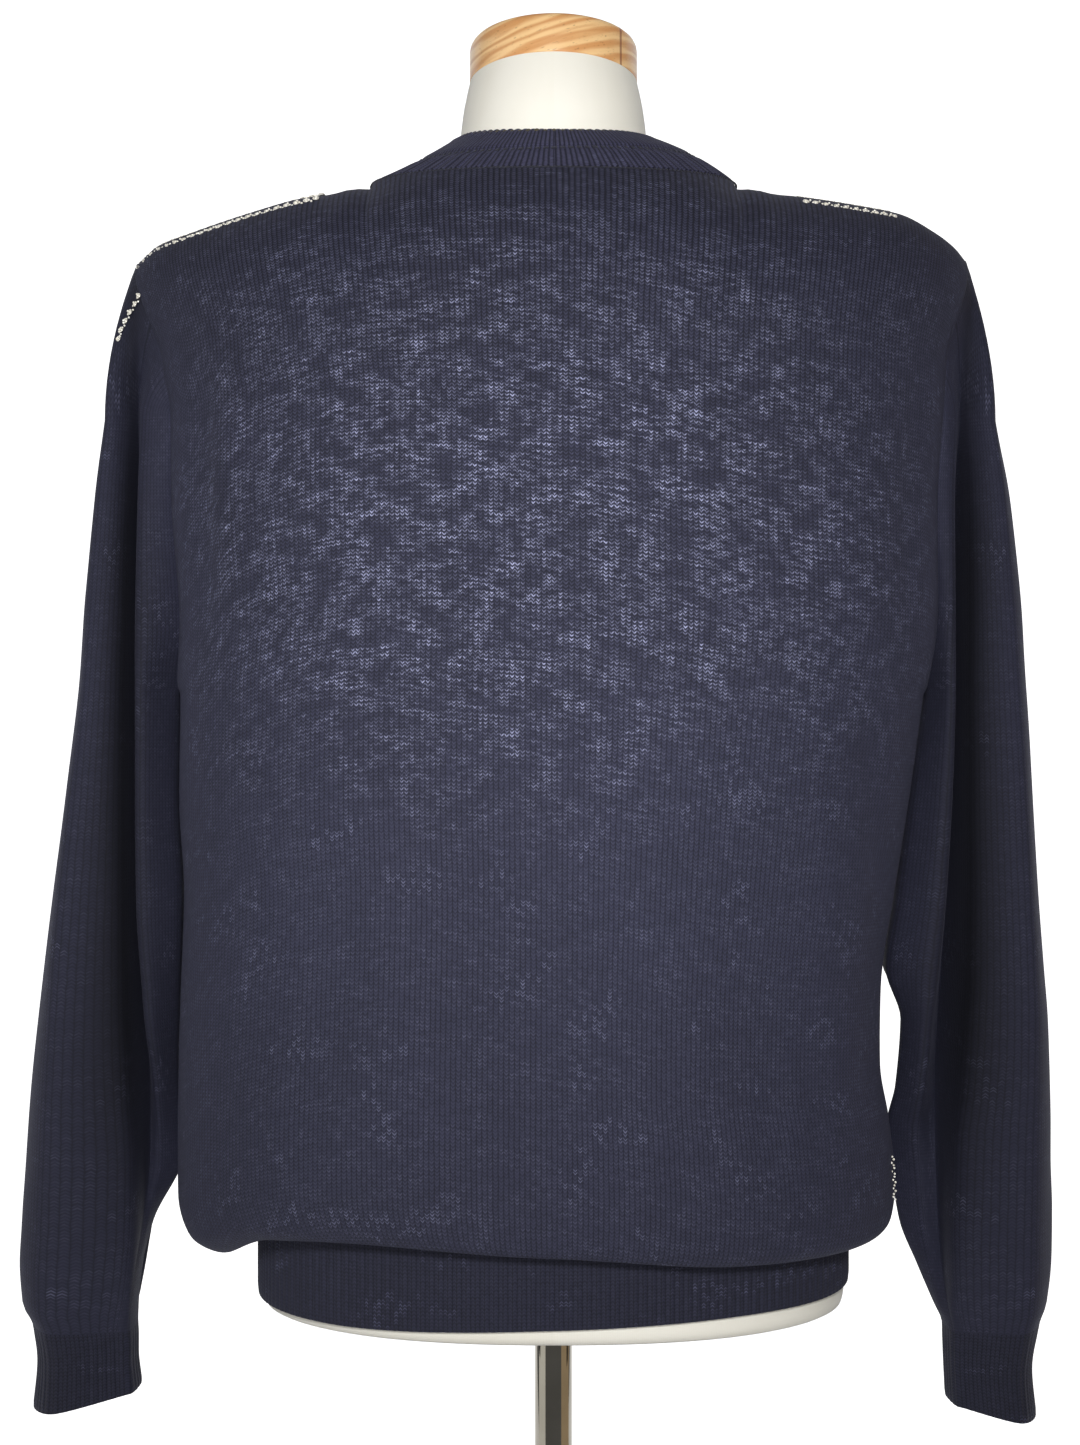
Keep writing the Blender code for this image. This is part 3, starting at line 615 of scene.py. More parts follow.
# ---- meshes: a skin is points, four-sided faces and a UV for each corner ----

def grid_skin(points, u, v, closed=False, start=0):
    """A skin over a grid of points; u and v are in metres, a column and row longer when closed."""
    rows, columns = points.shape[:2]
    span = columns if closed else columns - 1
    row, column = np.meshgrid(np.arange(rows - 1), np.arange(span), indexing="ij")
    row = row.ravel()
    column = column.ravel()
    steps = ((0, 0), (0, 1), (1, 1), (1, 0))
    faces = np.stack([start + (row + r) * columns + (column + c) % columns for r, c in steps], axis=1)
    uvs = np.stack([
        np.stack([u[row + r, column + c], v[row + r, column + c]], axis=1) for r, c in steps
    ], axis=1)
    return points.reshape(-1, 3), faces, uvs


def join_skins(skins):
    points = np.concatenate([skin[0] for skin in skins])
    faces = np.concatenate([skin[1] for skin in skins])
    uvs = np.concatenate([skin[2] for skin in skins])
    return points, faces, uvs


def flip_skin(skin):
    return skin[0], skin[1][:, ::-1], skin[2][:, ::-1]


def point_normals(points, faces):
    flow = np.cross(
        points[faces[:, 2]] - points[faces[:, 0]], points[faces[:, 3]] - points[faces[:, 1]],
    )
    normals = np.zeros_like(points)
    for corner in range(4):
        np.add.at(normals, faces[:, corner], flow)
    length = np.linalg.norm(normals, axis=1, keepdims=True)
    return normals / np.maximum(length, 1e-15)


def open_edges(faces, uvs):
    """Edges that only one face has, as (first, second, first uv, second uv)."""
    seen = {}
    for face, uv in zip(faces.tolist(), uvs.tolist()):
        for corner in range(4):
            first, second = face[corner], face[(corner + 1) % 4]
            if (second, first) in seen:
                del seen[(second, first)]
            else:
                seen[(first, second)] = (uv[corner], uv[(corner + 1) % 4])
    return [(first, second, *uv) for (first, second), uv in seen.items()]


def new_object(name, data):
    thing = bpy.data.objects.new(name, data)
    bpy.context.scene.collection.objects.link(thing)
    return thing


def build_object(name, skin, material, sharp=60):
    points, faces, uvs = skin
    mesh = bpy.data.meshes.new(name)
    mesh.vertices.add(len(points))
    mesh.vertices.foreach_set("co", points.ravel())
    mesh.loops.add(len(faces) * 4)
    mesh.loops.foreach_set("vertex_index", faces.ravel().astype(np.int32))
    mesh.polygons.add(len(faces))
    mesh.polygons.foreach_set("loop_start", np.arange(0, len(faces) * 4, 4, dtype=np.int32))
    layer = mesh.uv_layers.new(name="cloth")
    layer.uv.foreach_set("vector", uvs.reshape(-1, 2).ravel())
    mesh.update(calc_edges=True)
    mesh.validate()
    mesh.shade_smooth()
    mesh.set_sharp_from_angle(angle=math.radians(sharp))
    mesh.materials.append(material)
    return new_object(name, mesh)


def build_wall(name, inside, thick, material):
    """A closed wall: the inside skin, and an outside that stands off it."""
    points, faces, uvs = inside
    outside = points + point_normals(points, faces) * np.reshape(thick, (-1, 1))
    count = len(points)
    rim = open_edges(faces, uvs)
    rim_faces = np.array([(b + count, a + count, a, b) for a, b, ua, ub in rim])
    rim_uvs = np.array([(ub, ua, ua, ub) for a, b, ua, ub in rim])
    all_faces = np.concatenate((faces + count, faces[:, ::-1], rim_faces))
    all_uvs = np.concatenate((uvs, uvs[:, ::-1], rim_uvs))
    return build_object(name, (np.concatenate((points, outside)), all_faces, all_uvs), material)


def run_lengths(points, axis):
    """Length along a grid's rows or columns, from its start, in metres."""
    step = np.linalg.norm(np.diff(points, axis=axis), axis=-1)
    pad = [(0, 0), (0, 0)]
    pad[axis] = (1, 0)
    return np.pad(np.cumsum(step, axis=axis), pad)


# ---- body panels ----

def panel_places(count):
    """Places across a panel, with one on each neck corner and each edge."""
    outer = round(count * PANEL_SIDE_SHARE)
    left = neck_place(1)
    right = neck_place(-1)
    return np.concatenate((
        np.linspace(-1, -right, outer + 1),
        np.linspace(-right, left, count - 2 * outer + 1)[1:-1],
        np.linspace(left, 1, outer + 1),
    ))


def bump(distance, wide):
    return np.exp(-(distance / wide) ** 2)


def window(at, low, high):
    reach = (high - low) * 0.35
    return ease((at - low) / reach) * ease((high - at) / reach)


def fold_rise(points, facing):
    """How far the body's folds stand off the plain shape, in metres."""
    x = points[..., 0] / MM
    z = points[..., 2] / MM
    rise = np.zeros_like(x)
    for row in BODY_FOLDS:
        fold = dict(zip(FOLD_COLUMNS, row))
        if (fold["side"] == "back") != (facing > 0):
            continue
        middle = fold["middle"] + fold["slant"] * (z - (fold["low"] + fold["high"]) / 2)
        shape = bump(x - middle, fold["wide"]) * window(z, fold["low"], fold["high"])
        rise += fold["rise"] * shape
    gather = window(z, 838, 930) * np.sin(x / 5.2 + 1.6 * np.sin(x / 23.0)) * 0.35
    wave = np.sin(x / 41 + z / 97) * np.sin(z / 71 - x / 133) * 0.5
    rise += (gather + wave) * ease((1345 - z) / 60)
    if facing > 0:
        middle, height, half, tall = LABEL
        patch_x = ease((half - np.abs(x - middle)) / LABEL_EDGE + 1)
        patch_z = ease((tall - np.abs(z - height)) / LABEL_EDGE + 1)
        rise += LABEL_RISE * patch_x * patch_z
    return rise * MM


def add_panel(name, facing, material):
    places = panel_places(PANEL_COLUMNS)
    steps = np.concatenate((
        np.linspace(0, 1, BODY_STEPS + 1), np.linspace(1, 2, SHOULDER_STEPS + 1)[1:],
    ))
    grid = panel_points(places[None, :], steps[:, None], facing)
    grid[..., 1] += facing * SEAM_GAP / 2
    u = run_lengths(grid, 1)
    middle = np.argmin(np.abs(places))
    chest = np.argmin(np.abs(steps - 0.6))
    u = np.broadcast_to((u[chest] - u[chest, middle])[None, :], grid.shape[:2])
    v = run_lengths(grid, 0)
    points, faces, uvs = grid_skin(grid, u, v)
    if facing > 0:
        faces, uvs = faces[:, ::-1], uvs[:, ::-1]
    normals = point_normals(points, faces)
    inward = np.minimum(1, np.minimum(np.arange(len(places)), np.arange(len(places))[::-1]) / 5)
    hold = np.ones(len(steps))
    hold[:3] = (0, 0.3, 0.7)
    hold[-4:] = (1, 0.7, 0.35, 0)
    rise = fold_rise(grid, facing) * inward[None, :] * hold[:, None]
    points = points + normals * rise.reshape(-1, 1)
    return build_wall(name, (points, faces, uvs), KNIT_THICK, material)


# ---- sleeves ----

def crease_rise(at, height, side):
    rise = np.zeros(len(at))
    for row in SLEEVE_CREASES:
        crease = dict(zip(CREASE_COLUMNS, row))
        middle = crease["around"] + side * crease["slant"] * (height - crease["low"])
        rise += crease["rise"] * bump(at - middle, crease["wide"]) * window(
            height, crease["low"], crease["high"])
    return rise * MM


def sleeve_cap(side, rows, at):
    """Rows of points from the seam over the shoulder down to the sleeve table."""
    cap_end = sleeve_section(side, rows, rows[0][0], at)
    arc = armhole_arc(side, len(at))
    arc[0] = cap_end[0]
    arc[-1] = cap_end[-1]
    knee = cap_end.copy()
    knee[:, 2] += (arc[:, 2] - cap_end[:, 2]) * CAP_KNEE
    steps = np.linspace(0, 1, CAP_STEPS + 1)[:-1]
    return [(1 - s) ** 2 * arc + 2 * s * (1 - s) * knee + s * s * cap_end for s in steps]


def add_sleeve(name, side, rows, material):
    at = np.linspace(0, OPEN_END, SLEEVE_OPEN + 1)
    inner_at = np.linspace(OPEN_END, FRAME_POINTS, SLEEVE_INNER + 1)[1:-1]
    around = np.concatenate((at, inner_at))
    top = rows[0][0]
    underarm = BODY_ROWS[UNDERARM_ROW][0]
    cap_rows = sleeve_cap(side, rows, at)
    arc = cap_rows[0]
    open_rows = [tucked(arc, side), *cap_rows]
    for height in np.linspace(top, underarm, ARMHOLE_STEPS + 1)[:-1]:
        open_rows.append(sleeve_section(side, rows, height, at))
    heights = np.linspace(underarm, CUFF_TOP, SLEEVE_STEPS + 1)
    closed_grid = np.array([sleeve_section(side, rows, height, around) for height in heights])
    open_grid = np.array(open_rows)
    ends = [tucked(open_grid[:, column], side)[:, None] for column in (0, -1)]
    open_grid = np.concatenate((ends[0], open_grid, ends[1]), axis=1)
    skin = join_sleeve(open_grid, closed_grid)
    if side < 0:
        skin = flip_skin(skin)
    points, faces, uvs = skin
    open_at = np.concatenate(([0], at, [OPEN_END]))
    rise = [crease_rise(open_at, row[0, 2] / MM, side) for row in open_grid]
    rise += [crease_rise(around, row[0, 2] / MM, side) for row in closed_grid]
    points = points + point_normals(points, faces) * np.concatenate(rise).reshape(-1, 1)
    sleeve = build_wall(name, (points, faces, uvs), KNIT_THICK, material)
    # painted shade in the deep folds, kept on the points for the material
    shade = [painted_fold_shade(open_at, row[0, 2] / MM) for row in open_grid]
    shade += [painted_fold_shade(around, row[0, 2] / MM) for row in closed_grid]
    shade = np.tile(np.concatenate(shade), 2)
    sleeve.data.attributes.new("painted_fold_shade", "FLOAT", "POINT").data.foreach_set("value", shade)
    return sleeve


def painted_fold_shade(at, height):
    """How dark each point of a sleeve's section is painted: painted shade in the folds beside the body."""
    shade = np.zeros(len(at))
    for place, wide, low, high, depth in PAINTED_FOLD_SHADES:
        shade = np.maximum(shade, depth * bump(at - place, wide) * window(height, low, high))
    return shade


def tucked(points, side):
    """Points of a sleeve's edge, moved in under the body's edge."""
    middle = points.copy()
    middle[:, 1:] = ARMHOLE_MIDDLE
    way = middle - points
    way /= np.maximum(np.linalg.norm(way, axis=1, keepdims=True), 1e-9)
    moved = points + way * TUCK_DEPTH
    moved[:, 0] -= side * TUCK_UNDER
    return moved


def join_sleeve(open_grid, closed_grid):
    """One skin of the open rows and the closed rows below; the open rows' end
    columns run on into the closed rows' inner columns."""
    rows, columns = open_grid.shape[:2]
    around = closed_grid.shape[1]
    under = (np.arange(columns) - 1) % around
    down = np.concatenate((open_grid, closed_grid[:, under]))
    v = run_lengths(down, 0).mean(axis=1)
    looped = np.concatenate((closed_grid, closed_grid[:, :1]), axis=1)
    girth = run_lengths(looped, 1)[0]
    u = np.concatenate(([girth[-2] - girth[-1]], girth[:columns - 1]))
    upper = grid_skin(
        open_grid, np.broadcast_to(u, (rows, columns)), np.broadcast_to(v[:rows, None], (rows, columns)),
    )
    deep = len(closed_grid)
    lower = grid_skin(
        closed_grid, np.broadcast_to(girth, (deep, around + 1)),
        np.broadcast_to(v[rows:, None], (deep, around + 1)), closed=True, start=rows * columns,
    )
    column = np.arange(columns - 1)
    high = (rows - 1) * columns + column
    low = rows * columns + under
    bridge = np.stack((high, high + 1, low[column + 1], low[column]), axis=1)
    top_v, low_v = v[rows - 1], v[rows]
    bridge_uv = np.stack([
        np.stack((u[column + c], np.full(len(column), level)), axis=1)
        for c, level in ((0, top_v), (1, top_v), (1, low_v), (0, low_v))
    ], axis=1)
    return join_skins((upper, (lower[0], bridge, bridge_uv), (lower[0][:0], lower[1], lower[2])))


# ---- ribbed bands ----

def even_ring(ring, count):
    """The same closed ring, with points an even distance apart."""
    loop = np.concatenate((ring, ring[:1]))
    run = path_run(loop)
    return path_at(loop, run, np.arange(count) * run[-1] / count)


def rib_profile(phase):
    """Height of a rib across one repeat: two wales raised, with a groove each side."""
    valley = 0.5 + 0.5 * np.cos(2 * math.pi * phase)
    split = 0.5 - 0.5 * np.cos(4 * math.pi * phase)
    return np.clip(1 - valley ** 1.4, 0, 1) * (0.82 + 0.18 * split)


def add_ribbed(name, rings, ribs, extra, height, material, flip=False):
    """A ribbed tube through rings; extra and height give each ring's own wall."""
    columns = RIB_COLUMNS * ribs
    grid = np.array([even_ring(ring, columns) for ring in rings])
    pitch = np.linalg.norm(np.diff(grid, axis=1), axis=-1).sum(axis=1).mean() / ribs
    phase = np.arange(columns + 1) / RIB_COLUMNS
    u = np.broadcast_to(phase[None, :] * pitch, (len(rings), columns + 1))
    length = run_lengths(grid, 0).mean(axis=1)
    v = np.broadcast_to(length[:, None], (len(rings), columns + 1))
    skin = grid_skin(grid, u, v, closed=True)
    if flip:
        skin = flip_skin(skin)
    rib = rib_profile(phase[:-1])[None, :] * np.reshape(height, (-1, 1))
    thick = RIB_THICK + rib + np.reshape(extra, (-1, 1))
    return build_wall(name, skin, thick.ravel(), material)


def add_cuff(name, side, rows, material):
    at = np.linspace(0, FRAME_POINTS, 4 * CUFF_LOOP_POINTS, endpoint=False)
    bottom = rows[-1][0]
    rings = []
    shares = np.linspace(0, 1, CUFF_STEPS + 1)
    for share in shares:
        height = CUFF_TOP - CUFF_GAP + (bottom - CUFF_TOP) * share
        ring = sleeve_section(side, rows, height, at)
        outward = np.abs(ring[:, 0]) - np.abs(ring[:, 0]).mean()
        ring[:, 2] -= CUFF_SLOPE * share * outward
        rings.append(ring)
    edge = ease((1 - shares) / 0.05)
    raised = CUFF_RIB * (0.35 + 0.65 * ease(shares / 0.2)) * (0.4 + 0.6 * edge)
    return add_ribbed(name, rings, CUFF_RIBS, 0 * shares, raised, material, flip=side < 0)


def neck_loop(half, side_height, back, front):
    """A loop round the neck; back and front are (y, height) at the middle."""
    angles = np.linspace(0, 2 * math.pi, 4 * LOOP_POINTS, endpoint=False)
    bow = np.abs(np.cos(angles))
    low_y = np.where(np.cos(angles) > 0, back[0], front[0])
    low_z = np.where(np.cos(angles) > 0, back[1], front[1])
    return np.stack([
        half * np.sin(angles),
        RIDGE_Y + (low_y - RIDGE_Y) * bow,
        side_height + (low_z - side_height) * bow ** NECK_DIP_POWER,
    ], axis=1)


def neck_surface(shares):
    """Rings of the neckband from its seam to its top edge, and outward there."""
    seam = neck_loop(
        NECK_HALF, NECK_HEIGHT,
        (NECK_BACK_Y, NECK_BACK_HEIGHT), (NECK_FRONT_Y, NECK_FRONT_HEIGHT),
    )
    edge = neck_loop(
        COLLAR_HALF, COLLAR_SIDE_HEIGHT,
        (COLLAR_BACK_Y, COLLAR_BACK_HEIGHT), (COLLAR_FRONT_Y, COLLAR_FRONT_HEIGHT),
    )
    outward = (seam - edge) * (1, 1, 0)
    outward /= np.linalg.norm(outward, axis=1, keepdims=True)
    outward[:, 2] = 1.0
    lean = seam[:, :1] / NECK_HALF
    rings = []
    for share in shares:
        bulge = (COLLAR_BULGE - COLLAR_BULGE_RIGHT * lean) * 4 * share * (1 - share)
        rings.append(seam + (edge - seam) * share + outward * bulge)
    return rings, outward


def add_neckband(material):
    shares = np.concatenate((np.linspace(COLLAR_SHARES[0], 1.0, NECK_STEPS + 1), [1.0, 1.0]))
    rings, outward = neck_surface(shares)
    inward = outward * (1, 1, 0) * COLLAR_TURN_IN
    for ring, down in zip((-2, -1), COLLAR_TURN_DOWN):
        rings[ring] = rings[ring] + (np.array((0, 0, -down)) - inward) * MM
    extra = np.interp(shares, COLLAR_SHARES, COLLAR_EXTRA)
    groove = bump(shares - CHAIN_SHARE, 0.035)
    lower = ease((CHAIN_SHARE - shares) / 0.05)
    raised = RIB_HEIGHT * (0.14 + 0.8 * lower + 0.8 * ease((shares - 0.88) / 0.12))
    raised = raised * (1 - 0.6 * groove)
    extra = extra + MM * (0.7 * ease((shares - CHAIN_SHARE) / 0.06) - 1.0 * groove)
    raised[-1] = 0.2 * RIB_HEIGHT
    return add_ribbed("rib_neckband", rings, COLLAR_RIBS, extra, raised, material, flip=True)


def hem_ring(height, share):
    places = np.linspace(-1, 1, 2 * LOOP_POINTS + 1)
    points = []
    for facing in (1, -1):
        middle = HEM_BACK if facing > 0 else HEM_FRONT
        place = places[:-1] * facing
        wide, deep = across(place)
        half = by_side(place, HEM_LEFT, HEM_RIGHT)
        lift = HEM_LIFT * share * ease(0.5 - place)
        points.append(np.stack([half * wide, middle * deep, height + lift], axis=1))
    return np.concatenate(points)


def add_hem_band(material):
    shares = np.linspace(0, 1, HEM_STEPS + 1)
    rings = [hem_ring(HEM_TOP + (HEM_BOTTOM - HEM_TOP) * share, share) for share in shares]
    edge = ease((1 - shares) / 0.05)
    raised = HEM_RIB * (0.3 + 0.7 * edge)
    return add_ribbed("rib_hem_band", rings, HEM_RIBS, 0 * shares, raised, material)


# ---- dress form and stand ----

def form_ring(height):
    angles = np.arange(FORM_SEGMENTS) * 2 * math.pi / FORM_SEGMENTS
    size = {
        name: table_value(FORM_ROWS, FORM_COLUMNS, name, height, by="height") * MM
        for name in FORM_COLUMNS
    }
    level = size["height"]
    roundness = ease((level - FORM_ROUND_FROM) / FORM_ROUND_OVER)
    power = 2 / (SECTION_POWER + (2 - SECTION_POWER) * roundness)
    wide = np.sign(np.sin(angles)) * np.abs(np.sin(angles)) ** power
    deep = np.sign(np.cos(angles)) * np.abs(np.cos(angles)) ** power
    y = np.where(deep > 0, size["back"], -size["front"]) * deep
    share = np.clip((level - TILT_FROM) / (NECK_TOP - TILT_FROM), 0, 1)
    z = level + math.tan(NECK_TILT) * share * y
    return np.stack([size["half"] * wide, y, z], axis=1)


def closed_ends(grid):
    """A skin round a grid of closed rings, with its ends closed to a point."""
    first = grid[0].mean(axis=0)
    last = grid[-1].mean(axis=0)
    count = grid.shape[1]
    rings = np.concatenate((
        np.repeat(first[None, None], count, axis=1), grid, np.repeat(last[None, None], count, axis=1),
    ))
    around = np.linalg.norm(np.diff(grid, axis=1), axis=-1).sum(axis=1).max()
    u = np.broadcast_to(np.linspace(0, around, count + 1)[None, :], (len(rings), count + 1))
    v = run_lengths(rings, 0)[:, :1]
    v = np.broadcast_to(v, (len(rings), count + 1))
    return grid_skin(rings, u, v, closed=True)


def merge_poles(thing):
    """Joins the points that meet at each closed end, and drops empty faces."""
    shape = bmesh.new()
    shape.from_mesh(thing.data)
    bmesh.ops.remove_doubles(shape, verts=shape.verts, dist=0.00001)
    shape.to_mesh(thing.data)
    shape.free()
    return thing


def add_form(material):
    rows = [row[0] for row in FORM_ROWS]
    heights = np.concatenate([
        np.linspace(low, high, max(2, round((high - low) / 6)) + 1)[:-1]
        for low, high in zip(rows[:-1], rows[1:])
    ] + [[rows[-1]]])
    grid = np.array([form_ring(height) for height in heights])
    skin = flip_skin(closed_ends(grid))
    return merge_poles(build_object("torso_jersey", skin, material))


def turned(name, profile, segments, material, tilt=0.0, foot=0.0):
    """A turned piece: profile is (radius, height) from the bottom to the top."""
    angles = np.arange(segments) * 2 * math.pi / segments
    ring = np.stack([np.sin(angles), np.cos(angles)], axis=1)
    grid = np.array([
        np.concatenate([ring * radius, np.full((segments, 1), height)], axis=1)
        for radius, height in profile
    ])
    y = grid[..., 1].copy()
    z = grid[..., 2].copy()
    grid[..., 1] = y * math.cos(tilt) - z * math.sin(tilt)
    grid[..., 2] = y * math.sin(tilt) + z * math.cos(tilt) + foot
    skin = flip_skin(closed_ends(grid))
    return merge_poles(build_object(name, skin, material, sharp=40))


def rounded(radius, low, high, bottom, top, steps=6):
    """Profile of a turned block with rounded bottom and top edges."""
    turn = np.linspace(0, math.pi / 2, steps)
    lower = [(radius - bottom + bottom * math.sin(a), low + bottom - bottom * math.cos(a)) for a in turn]
    upper = [(radius - top + top * math.cos(a), high - top + top * math.sin(a)) for a in turn]
    return lower + upper


def add_stand(wood, seam, chrome, steel):
    """Neck cap with the thin ring under it, pole and base."""
    foot = BASE_HEIGHT + SEAM_GAP
    top = FORM_ROWS[0][0] * MM - SEAM_GAP
    bevel = 0.9 * MM
    cap = turned(
        "wooden_cap", rounded(CAP_RADIUS, 0, CAP_HEIGHT, bevel, CAP_ROUND),
        CAP_SEGMENTS * 3, wood, NECK_TILT, NECK_TOP + SEAM_GAP,
    )
    ring = turned(
        "cap_ring", rounded(CAP_RADIUS - 0.5 * MM, -0.5 * MM, 0.1 * MM, 0.1 * MM, 0.1 * MM, 3),
        CAP_SEGMENTS * 3, seam, NECK_TILT, NECK_TOP + SEAM_GAP,
    )
    pole = turned(
        "chrome_pole", rounded(POLE_RADIUS, foot, top, 0.4 * MM, 0.4 * MM, 4), POLE_SEGMENTS * 3, chrome,
    )
    base = turned(
        "round_base", rounded(BASE_RADIUS, 0, BASE_HEIGHT, 0.5 * MM, BASE_EDGE, 5), BASE_SEGMENTS * 4, steel,
    )
    return cap, ring, pole, base


# ---- what repeats along a path: beads and stitches, by Geometry Nodes ----

def add_node(tree, kind, links=(), **settings):
    """Adds a node; links maps an input to a value or to another node's output."""
    made = tree.nodes.new(kind)
    for key, value in settings.items():
        setattr(made, key, value)
    for place, value in dict(links).items():
        if isinstance(value, bpy.types.NodeSocket):
            tree.links.new(value, made.inputs[place])
        else:
            made.inputs[place].default_value = value
    return made


def repeat_tree(name, shape):
    """A tree that sets one shape at even steps along a path, facing outwards.

    shape is "bead" for a round glass bead, "cup" for a ring-shaped bead and
    "stitch" for one leg of a chain stitch, laid along the path.
    """
    tree = bpy.data.node_groups.new(name, "GeometryNodeTree")
    face = tree.interface
    sockets = (
        ("Path", "Geometry"), ("Spacing", "Float"), ("Size", "Float"), ("Thickness", "Float"),
        ("Lean", "Float"), ("Seed", "Int"), ("Material", "Material"),
    )
    for label, kind in sockets:
        face.new_socket(label, in_out="INPUT", socket_type="NodeSocket" + kind)
    face.new_socket("Pieces", in_out="OUTPUT", socket_type="NodeSocketGeometry")

    def add(kind, links=(), **settings):
        return add_node(tree, kind, links, **settings)

    given = add("NodeGroupInput").outputs
    out = add("GeometryNodeInputNamedAttribute", {"Name": "out"}, data_type="FLOAT_VECTOR")
    curve = add("GeometryNodeMeshToCurve", {"Mesh": given["Path"]})
    even = add(
        "GeometryNodeResampleCurve", {"Curve": curve.outputs[0], "Length": given["Spacing"]}, mode="LENGTH",
    )
    tangent = add("GeometryNodeInputTangent")
    flat = add("FunctionNodeAlignEulerToVector", {"Vector": out.outputs["Attribute"]}, axis="Z")
    turned_to = add(
        "FunctionNodeAlignEulerToVector", {"Rotation": flat.outputs[0], "Vector": tangent.outputs[0]},
        axis="X", pivot_axis="Z",
    )
    lean = add("ShaderNodeCombineXYZ", {"Z": given["Lean"]})
    lean_turn = add(
        "FunctionNodeRotateEuler", {"Rotation": turned_to.outputs[0], "Rotate By": lean.outputs[0]},
        space="LOCAL",
    )
    grow = add(
        "FunctionNodeRandomValue", {"Min": 0.88, "Max": 1.12, "Seed": given["Seed"]}, data_type="FLOAT",
    )
    if shape == "bead":
        body = add("GeometryNodeMeshUVSphere", {"Segments": 10, "Rings": 7, "Radius": given["Size"]})
    elif shape == "cup":
        ring = add("GeometryNodeCurvePrimitiveCircle", {"Resolution": 16, "Radius": given["Size"]})
        tube = add("GeometryNodeCurvePrimitiveCircle", {"Resolution": 7, "Radius": given["Thickness"]})
        body = add("GeometryNodeCurveToMesh", {"Curve": ring.outputs[0], "Profile Curve": tube.outputs[0]})
    else:
        ball = add("GeometryNodeMeshUVSphere", {"Segments": 8, "Rings": 6, "Radius": given["Size"]})
        thin = add("ShaderNodeMath", {0: given["Thickness"], 1: given["Size"]}, operation="DIVIDE")
        scale = add("ShaderNodeCombineXYZ", {"X": 1.0, "Y": thin.outputs[0], "Z": thin.outputs[0]})
        body = add("GeometryNodeTransform", {"Geometry": ball.outputs[0], "Scale": scale.outputs[0]})
    placed = add("GeometryNodeInstanceOnPoints", {
        "Points": even.outputs[0], "Instance": body.outputs[0], "Rotation": lean_turn.outputs[0],
        "Scale": grow.outputs[1],
    })
    real = add("GeometryNodeRealizeInstances", {"Geometry": placed.outputs[0]})
    soft = add("GeometryNodeSetShadeSmooth", {"Geometry": real.outputs[0]})
    coat = add("GeometryNodeSetMaterial", {"Geometry": soft.outputs[0], "Material": given["Material"]})
    add("NodeGroupOutput", {"Pieces": coat.outputs[0]})
    return tree


def path_mesh(name, paths):
    """Loose lines through points; each path is (points, outward directions)."""
    points = np.concatenate([path[0] for path in paths])
    out = np.concatenate([path[1] for path in paths])
    edges = []
    start = 0
    for path in paths:
        edges += [(start + index, start + index + 1) for index in range(len(path[0]) - 1)]
        start += len(path[0])
    mesh = bpy.data.meshes.new(name)
    mesh.from_pydata(points.tolist(), edges, [])
    layer = mesh.attributes.new("out", "FLOAT_VECTOR", "POINT")
    layer.data.foreach_set("vector", out.ravel())
    return new_object(name, mesh)


def repeat_along(name, tree, paths, material, **sizes):
    """The tree's pieces along the paths, made a plain mesh."""
    thing = path_mesh(name, paths)
    change = thing.modifiers.new("repeat", "NODES")
    change.node_group = tree
    known = {item.name: item.identifier for item in tree.interface.items_tree if item.in_out == "INPUT"}
    for key, value in {**sizes, "Material": material}.items():
        change[known[key]] = value
    bpy.context.view_layer.update()
    graph = bpy.context.evaluated_depsgraph_get()
    mesh = bpy.data.meshes.new_from_object(thing.evaluated_get(graph))
    thing.modifiers.clear()
    old = thing.data
    thing.data = mesh
    mesh.name = name
    bpy.data.meshes.remove(old)
    return thing


# ---- paths for the trim ----

def along(points, out, first, last, count):
    """Part of a path, from one share of its length to another."""
    run = path_run(points)
    at = np.linspace(first, last, count) * run[-1]
    cut = path_at(points, run, at)
    facing = path_at(out, run, at)
    facing /= np.linalg.norm(facing, axis=1, keepdims=True)
    return cut, facing


def panel_line(side, first, last, step, facing):
    """A line across a panel at one step, with its outward directions."""
    places = side * np.linspace(first, last, BEAD_POINTS)
    grid = panel_points(places[None, :], np.array([[step - 0.01], [step], [step + 0.01]]), facing)
    across_way = np.gradient(grid[1], axis=0)
    up_way = grid[2] - grid[0]
    out = np.cross(across_way, up_way) * side
    out *= np.sign(out[:, 1] * facing + out[:, 2])[:, None]
    out /= np.linalg.norm(out, axis=1, keepdims=True)
    return grid[1] + out * (KNIT_THICK + BEAD_LIFT), out


def zigzag(points, out, pitch, swing):
    """A path that swings from side to side along another."""
    count = int(path_run(points)[-1] / (pitch / 8))
    line, facing = along(points, out, 0, 1, count)
    way = np.gradient(line, axis=0)
    side = np.cross(way, facing)
    side /= np.linalg.norm(side, axis=1, keepdims=True)
    phase = np.arange(count) / 8
    swing_at = (np.abs((phase % 1) * 2 - 1) * 2 - 1) * swing
    return line + side * swing_at[:, None], facing


def seen_edge(climb, inset):
    """Along the last axis: where the cloth's seen edge lies, and where the first
    point lies that is this far inside it."""
    edge = np.argmax(climb, axis=-1)
    top = np.take_along_axis(climb, edge[..., None], axis=-1)
    before = np.arange(climb.shape[-1]) <= edge[..., None]
    return edge, np.argmax(before & (climb > top - inset / VIEW_DISTANCE), axis=-1)


